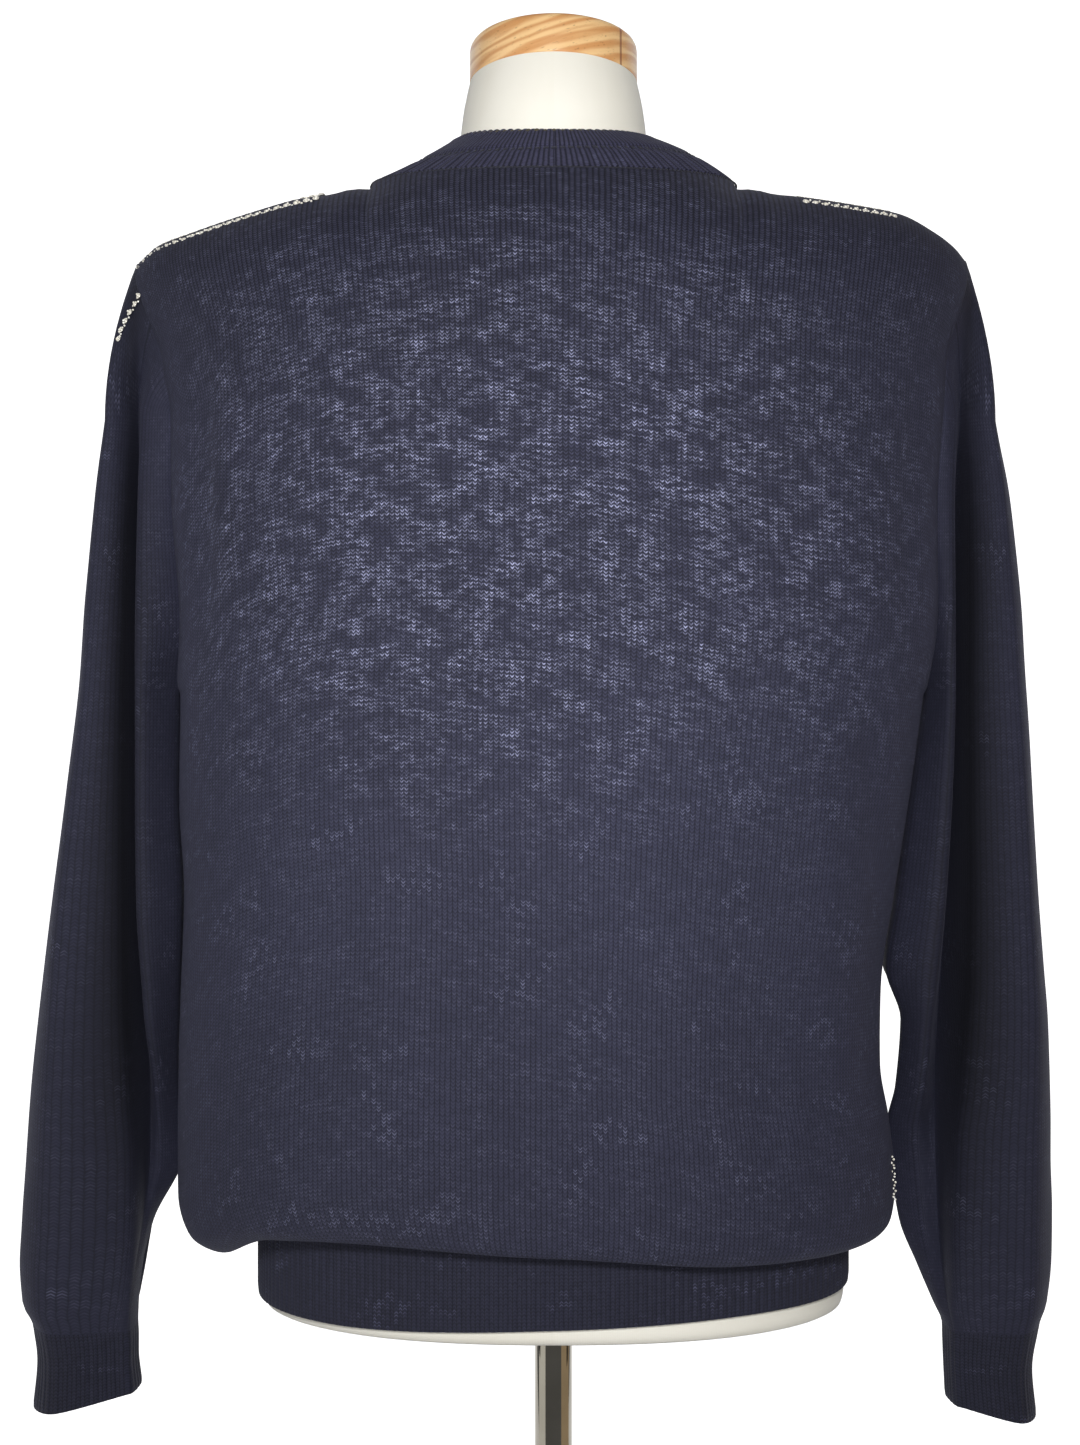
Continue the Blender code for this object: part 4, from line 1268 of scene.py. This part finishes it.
def bead_rows():
    """Rows of the shoulder beadwork, from the edge that shows to the front."""
    rows = []
    for side, low, high in BEAD_REACH:
        edges = [
            math.asin((edge * MM / tip_half(side)) ** (SECTION_POWER / 2)) * 2 / math.pi
            for edge in (low, high)
        ]
        places = side * np.linspace(edges[0], edges[1], BEAD_POINTS)
        steps = np.linspace(1.1, 2.0, 181)
        grid = panel_points(places[:, None], steps[None, :], 1)
        climb = (grid[..., 2] - CAMERA_PLACE[2]) / (CAMERA_PLACE[1] - grid[..., 1])
        ridge, inner = seen_edge(climb, BEAD_INSET)
        ridge, inner = steps[ridge], steps[inner]
        for share in BEAD_ROWS_TOP:
            at = inner if share == 0 else ridge + (1.99 - ridge) * share
            line = panel_points(places, at, 1)
            out = np.tile((side * 0.1, 0.75 * (1 - share), 0.75), (BEAD_POINTS, 1))
            rows.append((line + (0, 0, KNIT_THICK + BEAD_LIFT), out / np.linalg.norm(out[0])))
        for step in BEAD_STEPS:
            rows.append(panel_line(side, *edges, step, -1))
    return rows


def add_beads(trees, glass, silver):
    """Beadwork that begins on the front of the shoulders and shows over them."""
    cups = bead_rows() + [sleeve_front_line()]
    seeds = [zigzag(line, out, BEAD_PITCH, SEED_SWING) for line, out in cups]
    spray, spray_out = body_side_line()
    seeds.append(zigzag(spray, spray_out, BEAD_PITCH * 0.8, 1.4 * MM))
    rings = repeat_along(
        "cup_beads", trees["cup"], cups, silver,
        Spacing=BEAD_PITCH, Size=CUP_RADIUS, Thickness=CUP_THICK, Lean=0.0, Seed=3,
    )
    pearls = repeat_along(
        "cup_centres", trees["bead"], cups, glass,
        Spacing=BEAD_PITCH, Size=CENTRE_RADIUS, Thickness=0.0, Lean=0.0, Seed=4,
    )
    small = repeat_along(
        "seed_beads", trees["bead"], seeds, glass,
        Spacing=SEED_PITCH, Size=SEED_RADIUS, Thickness=0.0, Lean=0.0, Seed=5,
    )
    return rings, pearls, small


def sleeve_front_line():
    """Down the left sleeve's cap, just inside the edge that the camera sees."""
    rows = np.array(sleeve_cap(1, LEFT_SLEEVE_ROWS, np.linspace(0, OPEN_END, SLEEVE_OPEN + 1)))
    reach = (rows[..., 0] - CAMERA_PLACE[0]) / (CAMERA_PLACE[1] - rows[..., 1])
    points = rows[np.arange(len(rows)), seen_edge(reach, BEAD_INSET)[1]]
    out = np.tile((0.6, 0.75, 0.25), (len(points), 1))
    return along(points + out * (KNIT_THICK + 1.2 * MM), out, *CAP_BEAD_SHARE, 40)


def body_side_line():
    """A short spray low on the right side, just inside the edge that is seen."""
    steps = np.linspace(*SPRAY_ROWS, 30) / (len(BODY_ROWS) - 1)
    grid = panel_points(np.linspace(-0.6, -1.0, 81)[None, :], steps[:, None], 1)
    reach = (CAMERA_PLACE[0] - grid[..., 0]) / (CAMERA_PLACE[1] - grid[..., 1])
    line = grid[np.arange(len(grid)), seen_edge(reach, SPRAY_INSET)[1]]
    out = np.tile((-0.6, 0.8, 0.0), (len(line), 1))
    return line + out * (KNIT_THICK + 1.0 * MM), out


def add_stitches(trees, yarn, edge_yarn):
    """Chain row round the neckband, the linking row at its seam and the
    scallops of its cast-on edge."""
    rings, outward = neck_surface([CHAIN_SHARE, LINK_SHARE, 1.0])
    closed = [np.concatenate((ring, ring[:1])) for ring in rings]
    facing = outward / np.linalg.norm(outward, axis=1, keepdims=True)
    facing = np.concatenate((facing, facing[:1]))
    lines = (
        closed[0] + facing * (RIB_THICK + 0.35 * MM),
        closed[1] + facing * (KNIT_THICK + 0.15 * MM),
        closed[2] + facing * 1.1 * MM + (0, 0, 0.2 * MM),
    )
    made = []
    for values in STITCH_ROWS:
        row = dict(zip(STITCH_COLUMNS, values))
        made.append(repeat_along(
            row["name"], trees["stitch"], [(lines[row["ring"]], facing)],
            edge_yarn if row["name"] == "edge_scallops" else yarn,
            Spacing=row["spacing"] * MM, Size=row["size"] * MM, Thickness=row["thick"] * MM,
            Lean=row["lean"], Seed=row["seed"],
        ))
    return made


# ---- materials ----

def linear(code):
    """A linear colour from an sRGB hex code."""
    parts = [int(code[index:index + 2], 16) / 255 for index in (0, 2, 4)]
    return tuple(c / 12.92 if c <= 0.04045 else ((c + 0.055) / 1.055) ** 2.4 for c in parts) + (1.0,)


def new_material(name, **values):
    material = bpy.data.materials.new(name)
    material.use_nodes = True
    shader = material.node_tree.nodes["Principled BSDF"]
    for key, value in values.items():
        shader.inputs[key.replace("_", " ")].default_value = value
    return material, material.node_tree, shader


def add(tree, kind, links=(), **settings):
    """Adds a shader node."""
    return add_node(tree, "ShaderNode" + kind, links, **settings)


def maths(tree, operation, *values):
    return add(tree, "Math", dict(enumerate(values)), operation=operation).outputs[0]


def product(tree, *values):
    result = values[0]
    for value in values[1:]:
        result = maths(tree, "MULTIPLY", result, value)
    return result


def set_surface(tree, shader, colour, height, strength, distance):
    """Sets a shader's colour, and a bump of the given height."""
    lump = add(tree, "Bump", {"Strength": strength, "Distance": distance, "Height": height})
    tree.links.new(colour.outputs[0], shader.inputs["Base Color"])
    tree.links.new(lump.outputs[0], shader.inputs["Normal"])


def ramp(tree, value, low, high):
    """0 to 1 as the value goes from low to high."""
    return add(tree, "MapRange", {0: value, 1: low, 2: high}, interpolation_type="SMOOTHSTEP").outputs[0]


def stitch_pattern(tree, wale, course, slant, warp):
    """Stockinette: rows of V stitches in upright columns.

    Returns the height of the stitches, the light row inside each of them, the
    number of the stitch and the cloth's UV.
    """
    uv = add(tree, "UVMap", uv_map="cloth").outputs[0]
    drift = add(tree, "TexNoise", {"Vector": uv, "Scale": 150.0, "Detail": 2.0}, noise_dimensions="2D")
    offset = add(tree, "VectorMath", {0: drift.outputs["Color"], 1: (0.5, 0.5, 0.5)}, operation="SUBTRACT")
    moved = add(
        tree, "VectorMath", {0: offset.outputs[0], 1: (warp, warp, 0), 2: uv}, operation="MULTIPLY_ADD",
    )
    split = add(tree, "SeparateXYZ", {0: moved.outputs[0]})
    x = maths(tree, "DIVIDE", split.outputs[0], wale)
    y = maths(tree, "DIVIDE", split.outputs[1], course)
    off_middle = maths(tree, "SUBTRACT", maths(tree, "FRACT", x), 0.5)
    from_middle = maths(tree, "MULTIPLY", maths(tree, "ABSOLUTE", off_middle), 2.0)
    phase = maths(tree, "SUBTRACT", y, maths(tree, "MULTIPLY", from_middle, slant))
    wave = maths(tree, "COSINE", maths(tree, "MULTIPLY", phase, 2 * math.pi))
    row = maths(tree, "MULTIPLY_ADD", wave, 0.5, 0.5)
    column = maths(tree, "SUBTRACT", 1.0, maths(tree, "POWER", from_middle, 4.0))
    height = maths(tree, "MULTIPLY", column, maths(tree, "MULTIPLY_ADD", row, 0.55, 0.45))
    cell = add(tree, "CombineXYZ", {0: maths(tree, "FLOOR", x), 1: maths(tree, "FLOOR", phase)}).outputs[0]
    return height, row, column, cell, uv


def knit_material(
    name, base, light, dark, wale, course, slant=0.75, warp=0.0006, glint=1.0, depth=0.0005,
):
    """Fine merino and viscose stockinette, flat knitted.

    The V stitches give rows of small zigzags where light falls square on them
    and thin upright lines elsewhere; in the middle of the back the lit rows and
    the glints of the yarn's twist are painted in as highlights, in clumps, with
    stray painted glints all over. The sleeves' deep folds carry painted shade.
    """
    material, tree, shader = new_material(name, Roughness=0.82, Sheen_Weight=0.05, Sheen_Roughness=0.4)
    shader.inputs["Specular IOR Level"].default_value = 0.2
    shader.inputs["Sheen Tint"].default_value = linear("9a9cc0")
    height, row, column, cell, uv = stitch_pattern(tree, wale, course, slant, warp)
    own = add(tree, "TexWhiteNoise", {"Vector": cell}, noise_dimensions="2D")
    # painted highlight: glints and lit stitch rows are painted only where the light falls square on the back
    painted_glint_area = painted_glint_region(tree)
    patch = uv_noise(tree, uv, (60.0, 90.0), 3.0)
    across_rows = uv_noise(tree, uv, (115.0, 520.0), 1.0)
    down_wales = uv_noise(tree, uv, (420.0, 36.0), 1.0)
    painted_glint_clumps = product(
        tree, painted_glint_area, ramp(tree, patch, 0.28, 0.72), ramp(tree, across_rows, 0.3, 0.7),
        maths(tree, "MULTIPLY_ADD", ramp(tree, down_wales, 0.35, 0.65), 0.6, 0.4),
    )
    # painted glints on the lit row of each stitch, in clumps within the lit area
    painted_glint = product(
        tree, maths(tree, "POWER", row, 1.6), column,
        maths(tree, "MULTIPLY_ADD", own.outputs[0], 0.9, 0.5), painted_glint_clumps, glint,
    )
    # stray painted glints, scattered over all the cloth
    stray_painted_glint = product(
        tree, ramp(tree, uv_noise(tree, uv, (26.0, 34.0), 2.0), 0.56, 0.68),
        ramp(tree, own.outputs[0], 0.7, 0.9), product(tree, maths(tree, "POWER", row, 3.0), column),
    )
    painted_glint = maths(tree, "MAXIMUM", painted_glint, maths(tree, "MULTIPLY", stray_painted_glint, 0.38))
    # painted highlight: in the lit area the colour follows the lit rows of the stitches
    painted_lit_rows = maths(tree, "MULTIPLY", maths(tree, "MULTIPLY_ADD", row, 0.9, 0.0), column)
    tone = add(tree, "MixRGB", {0: painted_glint_area, 1: height, 2: painted_lit_rows}).outputs[0]
    tone = maths(tree, "MULTIPLY_ADD", tone, 0.7, maths(tree, "MULTIPLY", own.outputs[0], 0.16))
    tone = maths(tree, "SUBTRACT", tone, neck_lines(tree, column))
    body = add(tree, "MixRGB", {0: ramp(tree, tone, -0.05, 0.8), 1: linear(dark), 2: linear(base)})
    # the painted glints lift the colour towards the light tone
    lit = add(tree, "MixRGB", {0: painted_glint, 1: body.outputs[0], 2: linear(light)}, use_clamp=True)
    wide = add(tree, "TexNoise", {"Vector": uv, "Scale": 9.0, "Detail": 2.0}, noise_dimensions="2D")
    # painted shade in the deep folds of the sleeves beside the body
    deep = add(tree, "Attribute", attribute_name="painted_fold_shade").outputs["Fac"]
    open_cloth = maths(tree, "MULTIPLY_ADD", wide.outputs[0], 0.22, 0.89)
    value = maths(tree, "MULTIPLY", open_cloth, maths(tree, "SUBTRACT", 1.0, deep))
    shade = add(tree, "HueSaturation", {"Value": value, "Color": lit.outputs[0]})
    fibre = add(tree, "TexNoise", {"Vector": uv, "Scale": 2600.0, "Detail": 2.0}, noise_dimensions="2D")
    relief = maths(tree, "MULTIPLY_ADD", fibre.outputs[0], 0.18, height)
    set_surface(tree, shader, shade, relief, 0.6, depth)
    return material


def uv_noise(tree, uv, scale, detail):
    """Noise over the cloth, with its own scale along the rows and down the wales."""
    place = add(tree, "Mapping", {"Vector": uv, "Scale": (*scale, 1.0)})
    noise = add(tree, "TexNoise", {
        "Vector": place.outputs[0], "Scale": 1.0, "Detail": detail,
    }, noise_dimensions="2D")
    return noise.outputs[0]


def neck_lines(tree, column):
    """Darker lines between the wales over the shoulders, and most just below the
    neckband, where the cloth is gathered into the seam."""
    split = add(tree, "SeparateXYZ", {0: add(tree, "TexCoord").outputs["Object"]})
    x, y, z = split.outputs
    neck = maths(tree, "SUBTRACT", 1.0, ramp(tree, maths(tree, "ABSOLUTE", x), 0.09, 0.17))
    neck = maths(tree, "MULTIPLY", neck, ramp(tree, z, 1.33, 1.4))
    near = maths(tree, "MULTIPLY_ADD", ramp(tree, z, 1.24, 1.38), 0.5, maths(tree, "MULTIPLY", neck, 0.6))
    near = maths(tree, "MULTIPLY", near, ramp(tree, y, 0.0, 0.03))
    gap = maths(tree, "SUBTRACT", 1.0, column)
    return maths(tree, "MULTIPLY", maths(tree, "MULTIPLY", near, maths(tree, "POWER", gap, 0.6)), 0.6)


def painted_glint_region(tree):
    """Where glints are painted on, as painted highlight: 1 in the middle of the back,
    where the cloth is taut and square to the light, and little elsewhere; the
    edge is broken up."""
    place = add(tree, "TexCoord").outputs["Object"]
    split = add(tree, "SeparateXYZ", {0: place})
    x, y, z = split.outputs
    near = add(tree, "CombineXYZ", {
        0: maths(tree, "DIVIDE", maths(tree, "SUBTRACT", x, PAINTED_GLINT_MIDDLE[0]), PAINTED_GLINT_HALF[0]),
        1: maths(tree, "DIVIDE", maths(tree, "SUBTRACT", z, PAINTED_GLINT_MIDDLE[1]), PAINTED_GLINT_HALF[1]),
    }).outputs[0]
    far = add(tree, "VectorMath", {0: near}, operation="LENGTH").outputs["Value"]
    broken = add(tree, "TexNoise", {"Vector": place, "Scale": 22.0, "Detail": 2.0}).outputs[0]
    far = maths(tree, "ADD", far, maths(tree, "MULTIPLY_ADD", broken, 0.9, -0.45))
    painted_glint_area = maths(tree, "SUBTRACT", 1.0, ramp(tree, far, 0.3, 1.5))
    painted_glint_area = maths(tree, "MULTIPLY", painted_glint_area, ramp(tree, y, 0.02, 0.09))
    return maths(tree, "MULTIPLY_ADD", painted_glint_area, 0.88, 0.12)


def rib_material(name, base, dark):
    """The same yarn in a tight rib: finer upright columns, few painted glints."""
    return knit_material(
        name, base, "77799a", dark, RIB_WALE, RIB_COURSE,
        slant=0.6, warp=0.0004, glint=0.35, depth=0.0004,
    )


def yarn_material(name, dark, light):
    """Two-ply yarn of the chain and linking rows; the twist shows as slanted lines."""
    material, tree, shader = new_material(name, Roughness=0.8, Sheen_Weight=0.1)
    place = add(tree, "TexCoord").outputs["Object"]
    twist = add(
        tree, "TexWave", {"Vector": place, "Scale": 700.0, "Distortion": 2.0}, bands_direction="DIAGONAL",
    )
    tone = add(tree, "MixRGB", {0: twist.outputs["Fac"], 1: linear(dark), 2: linear(light)})
    tree.links.new(tone.outputs[0], shader.inputs["Base Color"])
    return material


def jersey_material():
    """Ivory cotton and elastane jersey, stretched smooth over the torso."""
    material, tree, shader = new_material("ivory_stretch_jersey", Roughness=0.62, Sheen_Weight=0.15)
    height, _, _, _, uv = stitch_pattern(tree, 0.9 * MM, 0.7 * MM, 0.6, 0.0002)
    cloud = add(tree, "TexNoise", {"Vector": uv, "Scale": 14.0, "Detail": 3.0}, noise_dimensions="2D")
    tone = maths(tree, "MULTIPLY_ADD", height, 0.3, maths(tree, "MULTIPLY", cloud.outputs[0], 0.7))
    colour = add(tree, "MixRGB", {0: tone, 1: linear("f1ecdc"), 2: linear("fbf8ee")})
    set_surface(tree, shader, colour, height, 0.2, 0.0002)
    return material


def wood_material():
    """Lacquered pine, turned from a glued block: slanted growth rings, dark flecks
    and one dark glue line give it its warm figure."""
    material, tree, shader = new_material("lacquered_pine", Coat_Weight=0.25, Coat_Roughness=0.2)
    place = add(tree, "TexCoord").outputs["Object"]
    tilted = add(tree, "Mapping", {"Vector": place, "Rotation": (0.0, math.radians(-17), 0.0)})
    stretched = add(tree, "Mapping", {"Vector": tilted.outputs[0], "Scale": (1.0, 1.0, 9.0)})
    wobble = add(tree, "TexNoise", {
        "Vector": stretched.outputs[0], "Scale": 26.0, "Detail": 4.0, "Roughness": 0.55,
    })
    rings = add(tree, "TexWave", {
        "Vector": stretched.outputs[0], "Scale": 5.0, "Distortion": 9.0, "Detail": 3.0, "Detail Scale": 2.0,
    }, bands_direction="Z", wave_profile="SIN")
    waver = maths(tree, "MULTIPLY", wobble.outputs[0], 0.5)
    figure = maths(tree, "MULTIPLY_ADD", rings.outputs["Fac"], 0.55, waver)
    grain = add(tree, "MixRGB", {
        0: ramp(tree, figure, 0.2, 0.85), 1: linear("e0a062"), 2: linear("ffd498"),
    })
    fleck_map = add(tree, "Mapping", {"Vector": tilted.outputs[0], "Scale": (260.0, 900.0, 1500.0)})
    fleck = add(tree, "TexNoise", {"Vector": fleck_map.outputs[0], "Scale": 1.0, "Detail": 1.0})
    flecks = maths(tree, "MULTIPLY", ramp(tree, fleck.outputs[0], 0.66, 0.74), 0.45)
    flecked = add(tree, "MixRGB", {0: flecks, 1: grain.outputs[0], 2: linear("8a4f28")})
    split = add(tree, "SeparateXYZ", {0: place})
    far = maths(tree, "ABSOLUTE", maths(tree, "SUBTRACT", split.outputs[0], GLUE_LINE_X))
    line = maths(tree, "MULTIPLY", maths(tree, "SUBTRACT", 1.0, ramp(tree, far, 0.0003, 0.0009)), 0.7)
    glued = add(tree, "MixRGB", {0: line, 1: flecked.outputs[0], 2: linear("7d3520")})
    gloss = maths(tree, "MULTIPLY_ADD", wobble.outputs[0], 0.16, 0.34)
    tree.links.new(gloss, shader.inputs["Roughness"])
    set_surface(tree, shader, glued, figure, 0.15, 0.0003)
    return material


def plain_material(name, hexes, scale, lump_depth, **values):
    """A finish with a faint cloud of two close tones and a fine surface relief."""
    material, tree, shader = new_material(name, **values)
    place = add(tree, "TexCoord").outputs["Object"]
    cloud = add(tree, "TexNoise", {"Vector": place, "Scale": scale, "Detail": 4.0})
    share = ramp(tree, cloud.outputs[0], 0.3, 0.7)
    tone = add(tree, "MixRGB", {0: share, 1: linear(hexes[0]), 2: linear(hexes[1])})
    set_surface(tree, shader, tone, cloud.outputs[0], 0.1, lump_depth)
    return material


# ---- camera, light and floor ----

def add_camera():
    data = bpy.data.cameras.new("photo_view")
    thing = new_object("photo_view", data)
    thing.location = CAMERA_PLACE
    thing.rotation_euler = (math.pi / 2, 0, math.pi)
    data.sensor_fit = "VERTICAL"
    data.sensor_height = CAMERA_SENSOR
    data.lens = CAMERA_SENSOR * FOCAL_PIXELS / IMAGE_HEIGHT
    bpy.context.scene.camera = thing


def add_lamp(name, place, aim, power, size=None, spread=None):
    """A soft box where a size is given, and otherwise a spot with a soft rim."""
    data = bpy.data.lights.new(name, "AREA" if size else "SPOT")
    if size:
        data.shape = "RECTANGLE"
        data.size, data.size_y = size
    else:
        data.spot_size = math.radians(spread)
        data.spot_blend = 1.0
        data.shadow_soft_size = 0.22
    data.energy = power
    thing = new_object(name, data)
    thing.location = place
    way = Vector(aim) - Vector(place)
    thing.rotation_euler = way.to_track_quat("-Z", "Y").to_euler()


def add_card(name, turn, colour, strength):
    """An upright card beside the camera that only shiny surfaces see; turn is
    the range of directions it fills, in degrees from straight behind."""
    points = []
    for angle in np.radians(np.linspace(*turn, 7)):
        points += [(CARD_FAR * math.sin(angle), CARD_FAR * math.cos(angle), z) for z in (0.0, 2.6)]
    faces = [(2 * i, 2 * i + 1, 2 * i + 3, 2 * i + 2) for i in range(6)]
    mesh = bpy.data.meshes.new(name)
    mesh.from_pydata(points, [], faces)
    card = new_object(name, mesh)
    material, _, shader = new_material(name + "_paper", Roughness=0.9, Base_Color=linear(colour))
    shader.inputs["Emission Color"].default_value = linear(colour)
    shader.inputs["Emission Strength"].default_value = strength
    mesh.materials.append(material)
    card.visible_camera = False
    card.visible_diffuse = False
    card.visible_shadow = False


def add_studio():
    """Pale floor that curves up into the backdrop, and soft frontal light."""
    profile = [(3.2, 0.0), (-1.9, 0.0)]
    bends = np.linspace(0.1, math.pi / 2, 12)
    profile += [(-1.9 - 0.8 * math.sin(bend), 0.8 - 0.8 * math.cos(bend)) for bend in bends]
    profile += [(-2.7, 4.2)]
    points = [(x, y, z - 0.002) for y, z in profile for x in (-4.0, 4.0)]
    faces = [(2 * i, 2 * i + 1, 2 * i + 3, 2 * i + 2) for i in range(len(profile) - 1)]
    mesh = bpy.data.meshes.new("backdrop")
    mesh.from_pydata(points, [], faces)
    mesh.shade_smooth()
    floor = new_object("backdrop", mesh)
    material, _, shader = new_material("white_paper", Roughness=0.9, Base_Color=linear("f4f4f3"))
    shader.inputs["Emission Color"].default_value = (1.0, 1.0, 1.0, 1.0)
    shader.inputs["Emission Strength"].default_value = 1.1
    mesh.materials.append(material)
    floor.visible_diffuse = False
    add_card("white_card", (50, 98), "f4f3ee", 1.1)
    add_card("tan_card", (-106, -48), "cfb795", 0.8)
    add_lamp("upper_pool", (0.03, 2.6, 1.22), (0.015, 0.1, 1.285), POOL_POWER, spread=POOL_SPREAD)
    add_lamp("lower_pool", (0.03, 2.5, 1.95), (0.015, 0.1, 0.98), POOL_POWER * 0.95, spread=POOL_SPREAD)
    add_lamp("front_fill", (0.3, 2.3, 1.5), (0, 0, 1.1), FILL_POWER, size=(1.6, 1.4))
    add_lamp("floor_bounce", (0, 1.1, 0.2), (0, 0.1, 0.78), BOUNCE_POWER, size=(0.9, 0.3))
    bpy.context.scene.view_settings.view_transform = "Standard"
    world = bpy.data.worlds.new("studio")
    bpy.context.scene.world = world
    world.use_nodes = True
    back = world.node_tree.nodes["Background"]
    back.inputs["Color"].default_value = linear("f2f2f2")
    back.inputs["Strength"].default_value = WORLD_STRENGTH


def main():
    clear_defaults()
    add_camera()
    # the light colour of each knit is the tone of its painted glints
    knit = knit_material("navy_stockinette", "303144", "9093b2", "171823", WALE, COURSE, glint=1.3)
    sleeve_knit = knit_material(
        "navy_sleeve_stockinette", "2d2e41", "888aa8", "1f202d", WALE, COURSE, depth=0.0002)
    rib = rib_material("navy_rib_knit", "292a3b", "15161f")
    neck_rib = rib_material("navy_neckband_rib", "44445c", "21212f")
    yarn = yarn_material("navy_linking_yarn", "12131c", "262838")
    edge_yarn = yarn_material("olive_brown_edge_yarn", "2e2a1f", "565039")
    jersey = jersey_material()
    wood = wood_material()
    seam = plain_material("pale_wood_bevel", ("e9cfa2", "f3dfb8"), 300.0, 0.0001, Roughness=0.5)
    chrome = plain_material(
        "chrome_tube", ("8f8b82", "99958c"), 40.0, 0.00002, Roughness=0.06, Metallic=1.0)
    steel = plain_material("powder_coated_steel", ("dcdcd8", "e4e4e0"), 900.0, 0.0001, Roughness=0.45)
    glass = plain_material(
        "cream_glass_bead", ("f4eedd", "fffdf6"), 500.0, 0.0001, Roughness=0.15, Coat_Weight=0.5)
    silver = plain_material(
        "silver_lined_bead", ("ddd8ca", "fdfaf2"), 700.0, 0.0001, Roughness=0.25, Metallic=0.3)
    trees = {shape: repeat_tree("row_of_" + shape, shape) for shape in ("bead", "cup", "stitch")}

    back = add_panel("knit_back", 1, knit)
    front = add_panel("knit_front", -1, knit)
    left = add_sleeve("knit_left_sleeve", 1, LEFT_SLEEVE_ROWS, sleeve_knit)
    right = add_sleeve("knit_right_sleeve", -1, RIGHT_SLEEVE_ROWS, sleeve_knit)
    left_cuff = add_cuff("rib_left_cuff", 1, LEFT_SLEEVE_ROWS, rib)
    right_cuff = add_cuff("rib_right_cuff", -1, RIGHT_SLEEVE_ROWS, rib)
    collar = add_neckband(neck_rib)
    hem = add_hem_band(rib)
    torso = add_form(jersey)
    cap, cap_ring, pole, base = add_stand(wood, seam, chrome, steel)
    beads = add_beads(trees, glass, silver)
    stitches = add_stitches(trees, yarn, edge_yarn)

    pieces = (
        (back, "back_panel", "navy_knit"), (front, "front_panel", "navy_knit"),
        (left, "left_sleeve", "navy_knit"), (right, "right_sleeve", "navy_knit"),
        (left_cuff, "left_cuff", "navy_rib"), (right_cuff, "right_cuff", "navy_rib"),
        (collar, "neckband", "navy_rib"), (hem, "hem_band", "navy_rib"),
        (torso, "form_torso", "ivory_jersey"), (cap, "neck_cap", "pine"),
        (cap_ring, None, "pine"), (pole, "pole", "chrome"), (base, "base", "painted_steel"),
    )
    for piece, node, slot in pieces:
        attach(piece, "root")
        if node:
            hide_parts(node)
    for piece in (*beads, *stitches):
        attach(piece, "root")
    add_studio()


main()
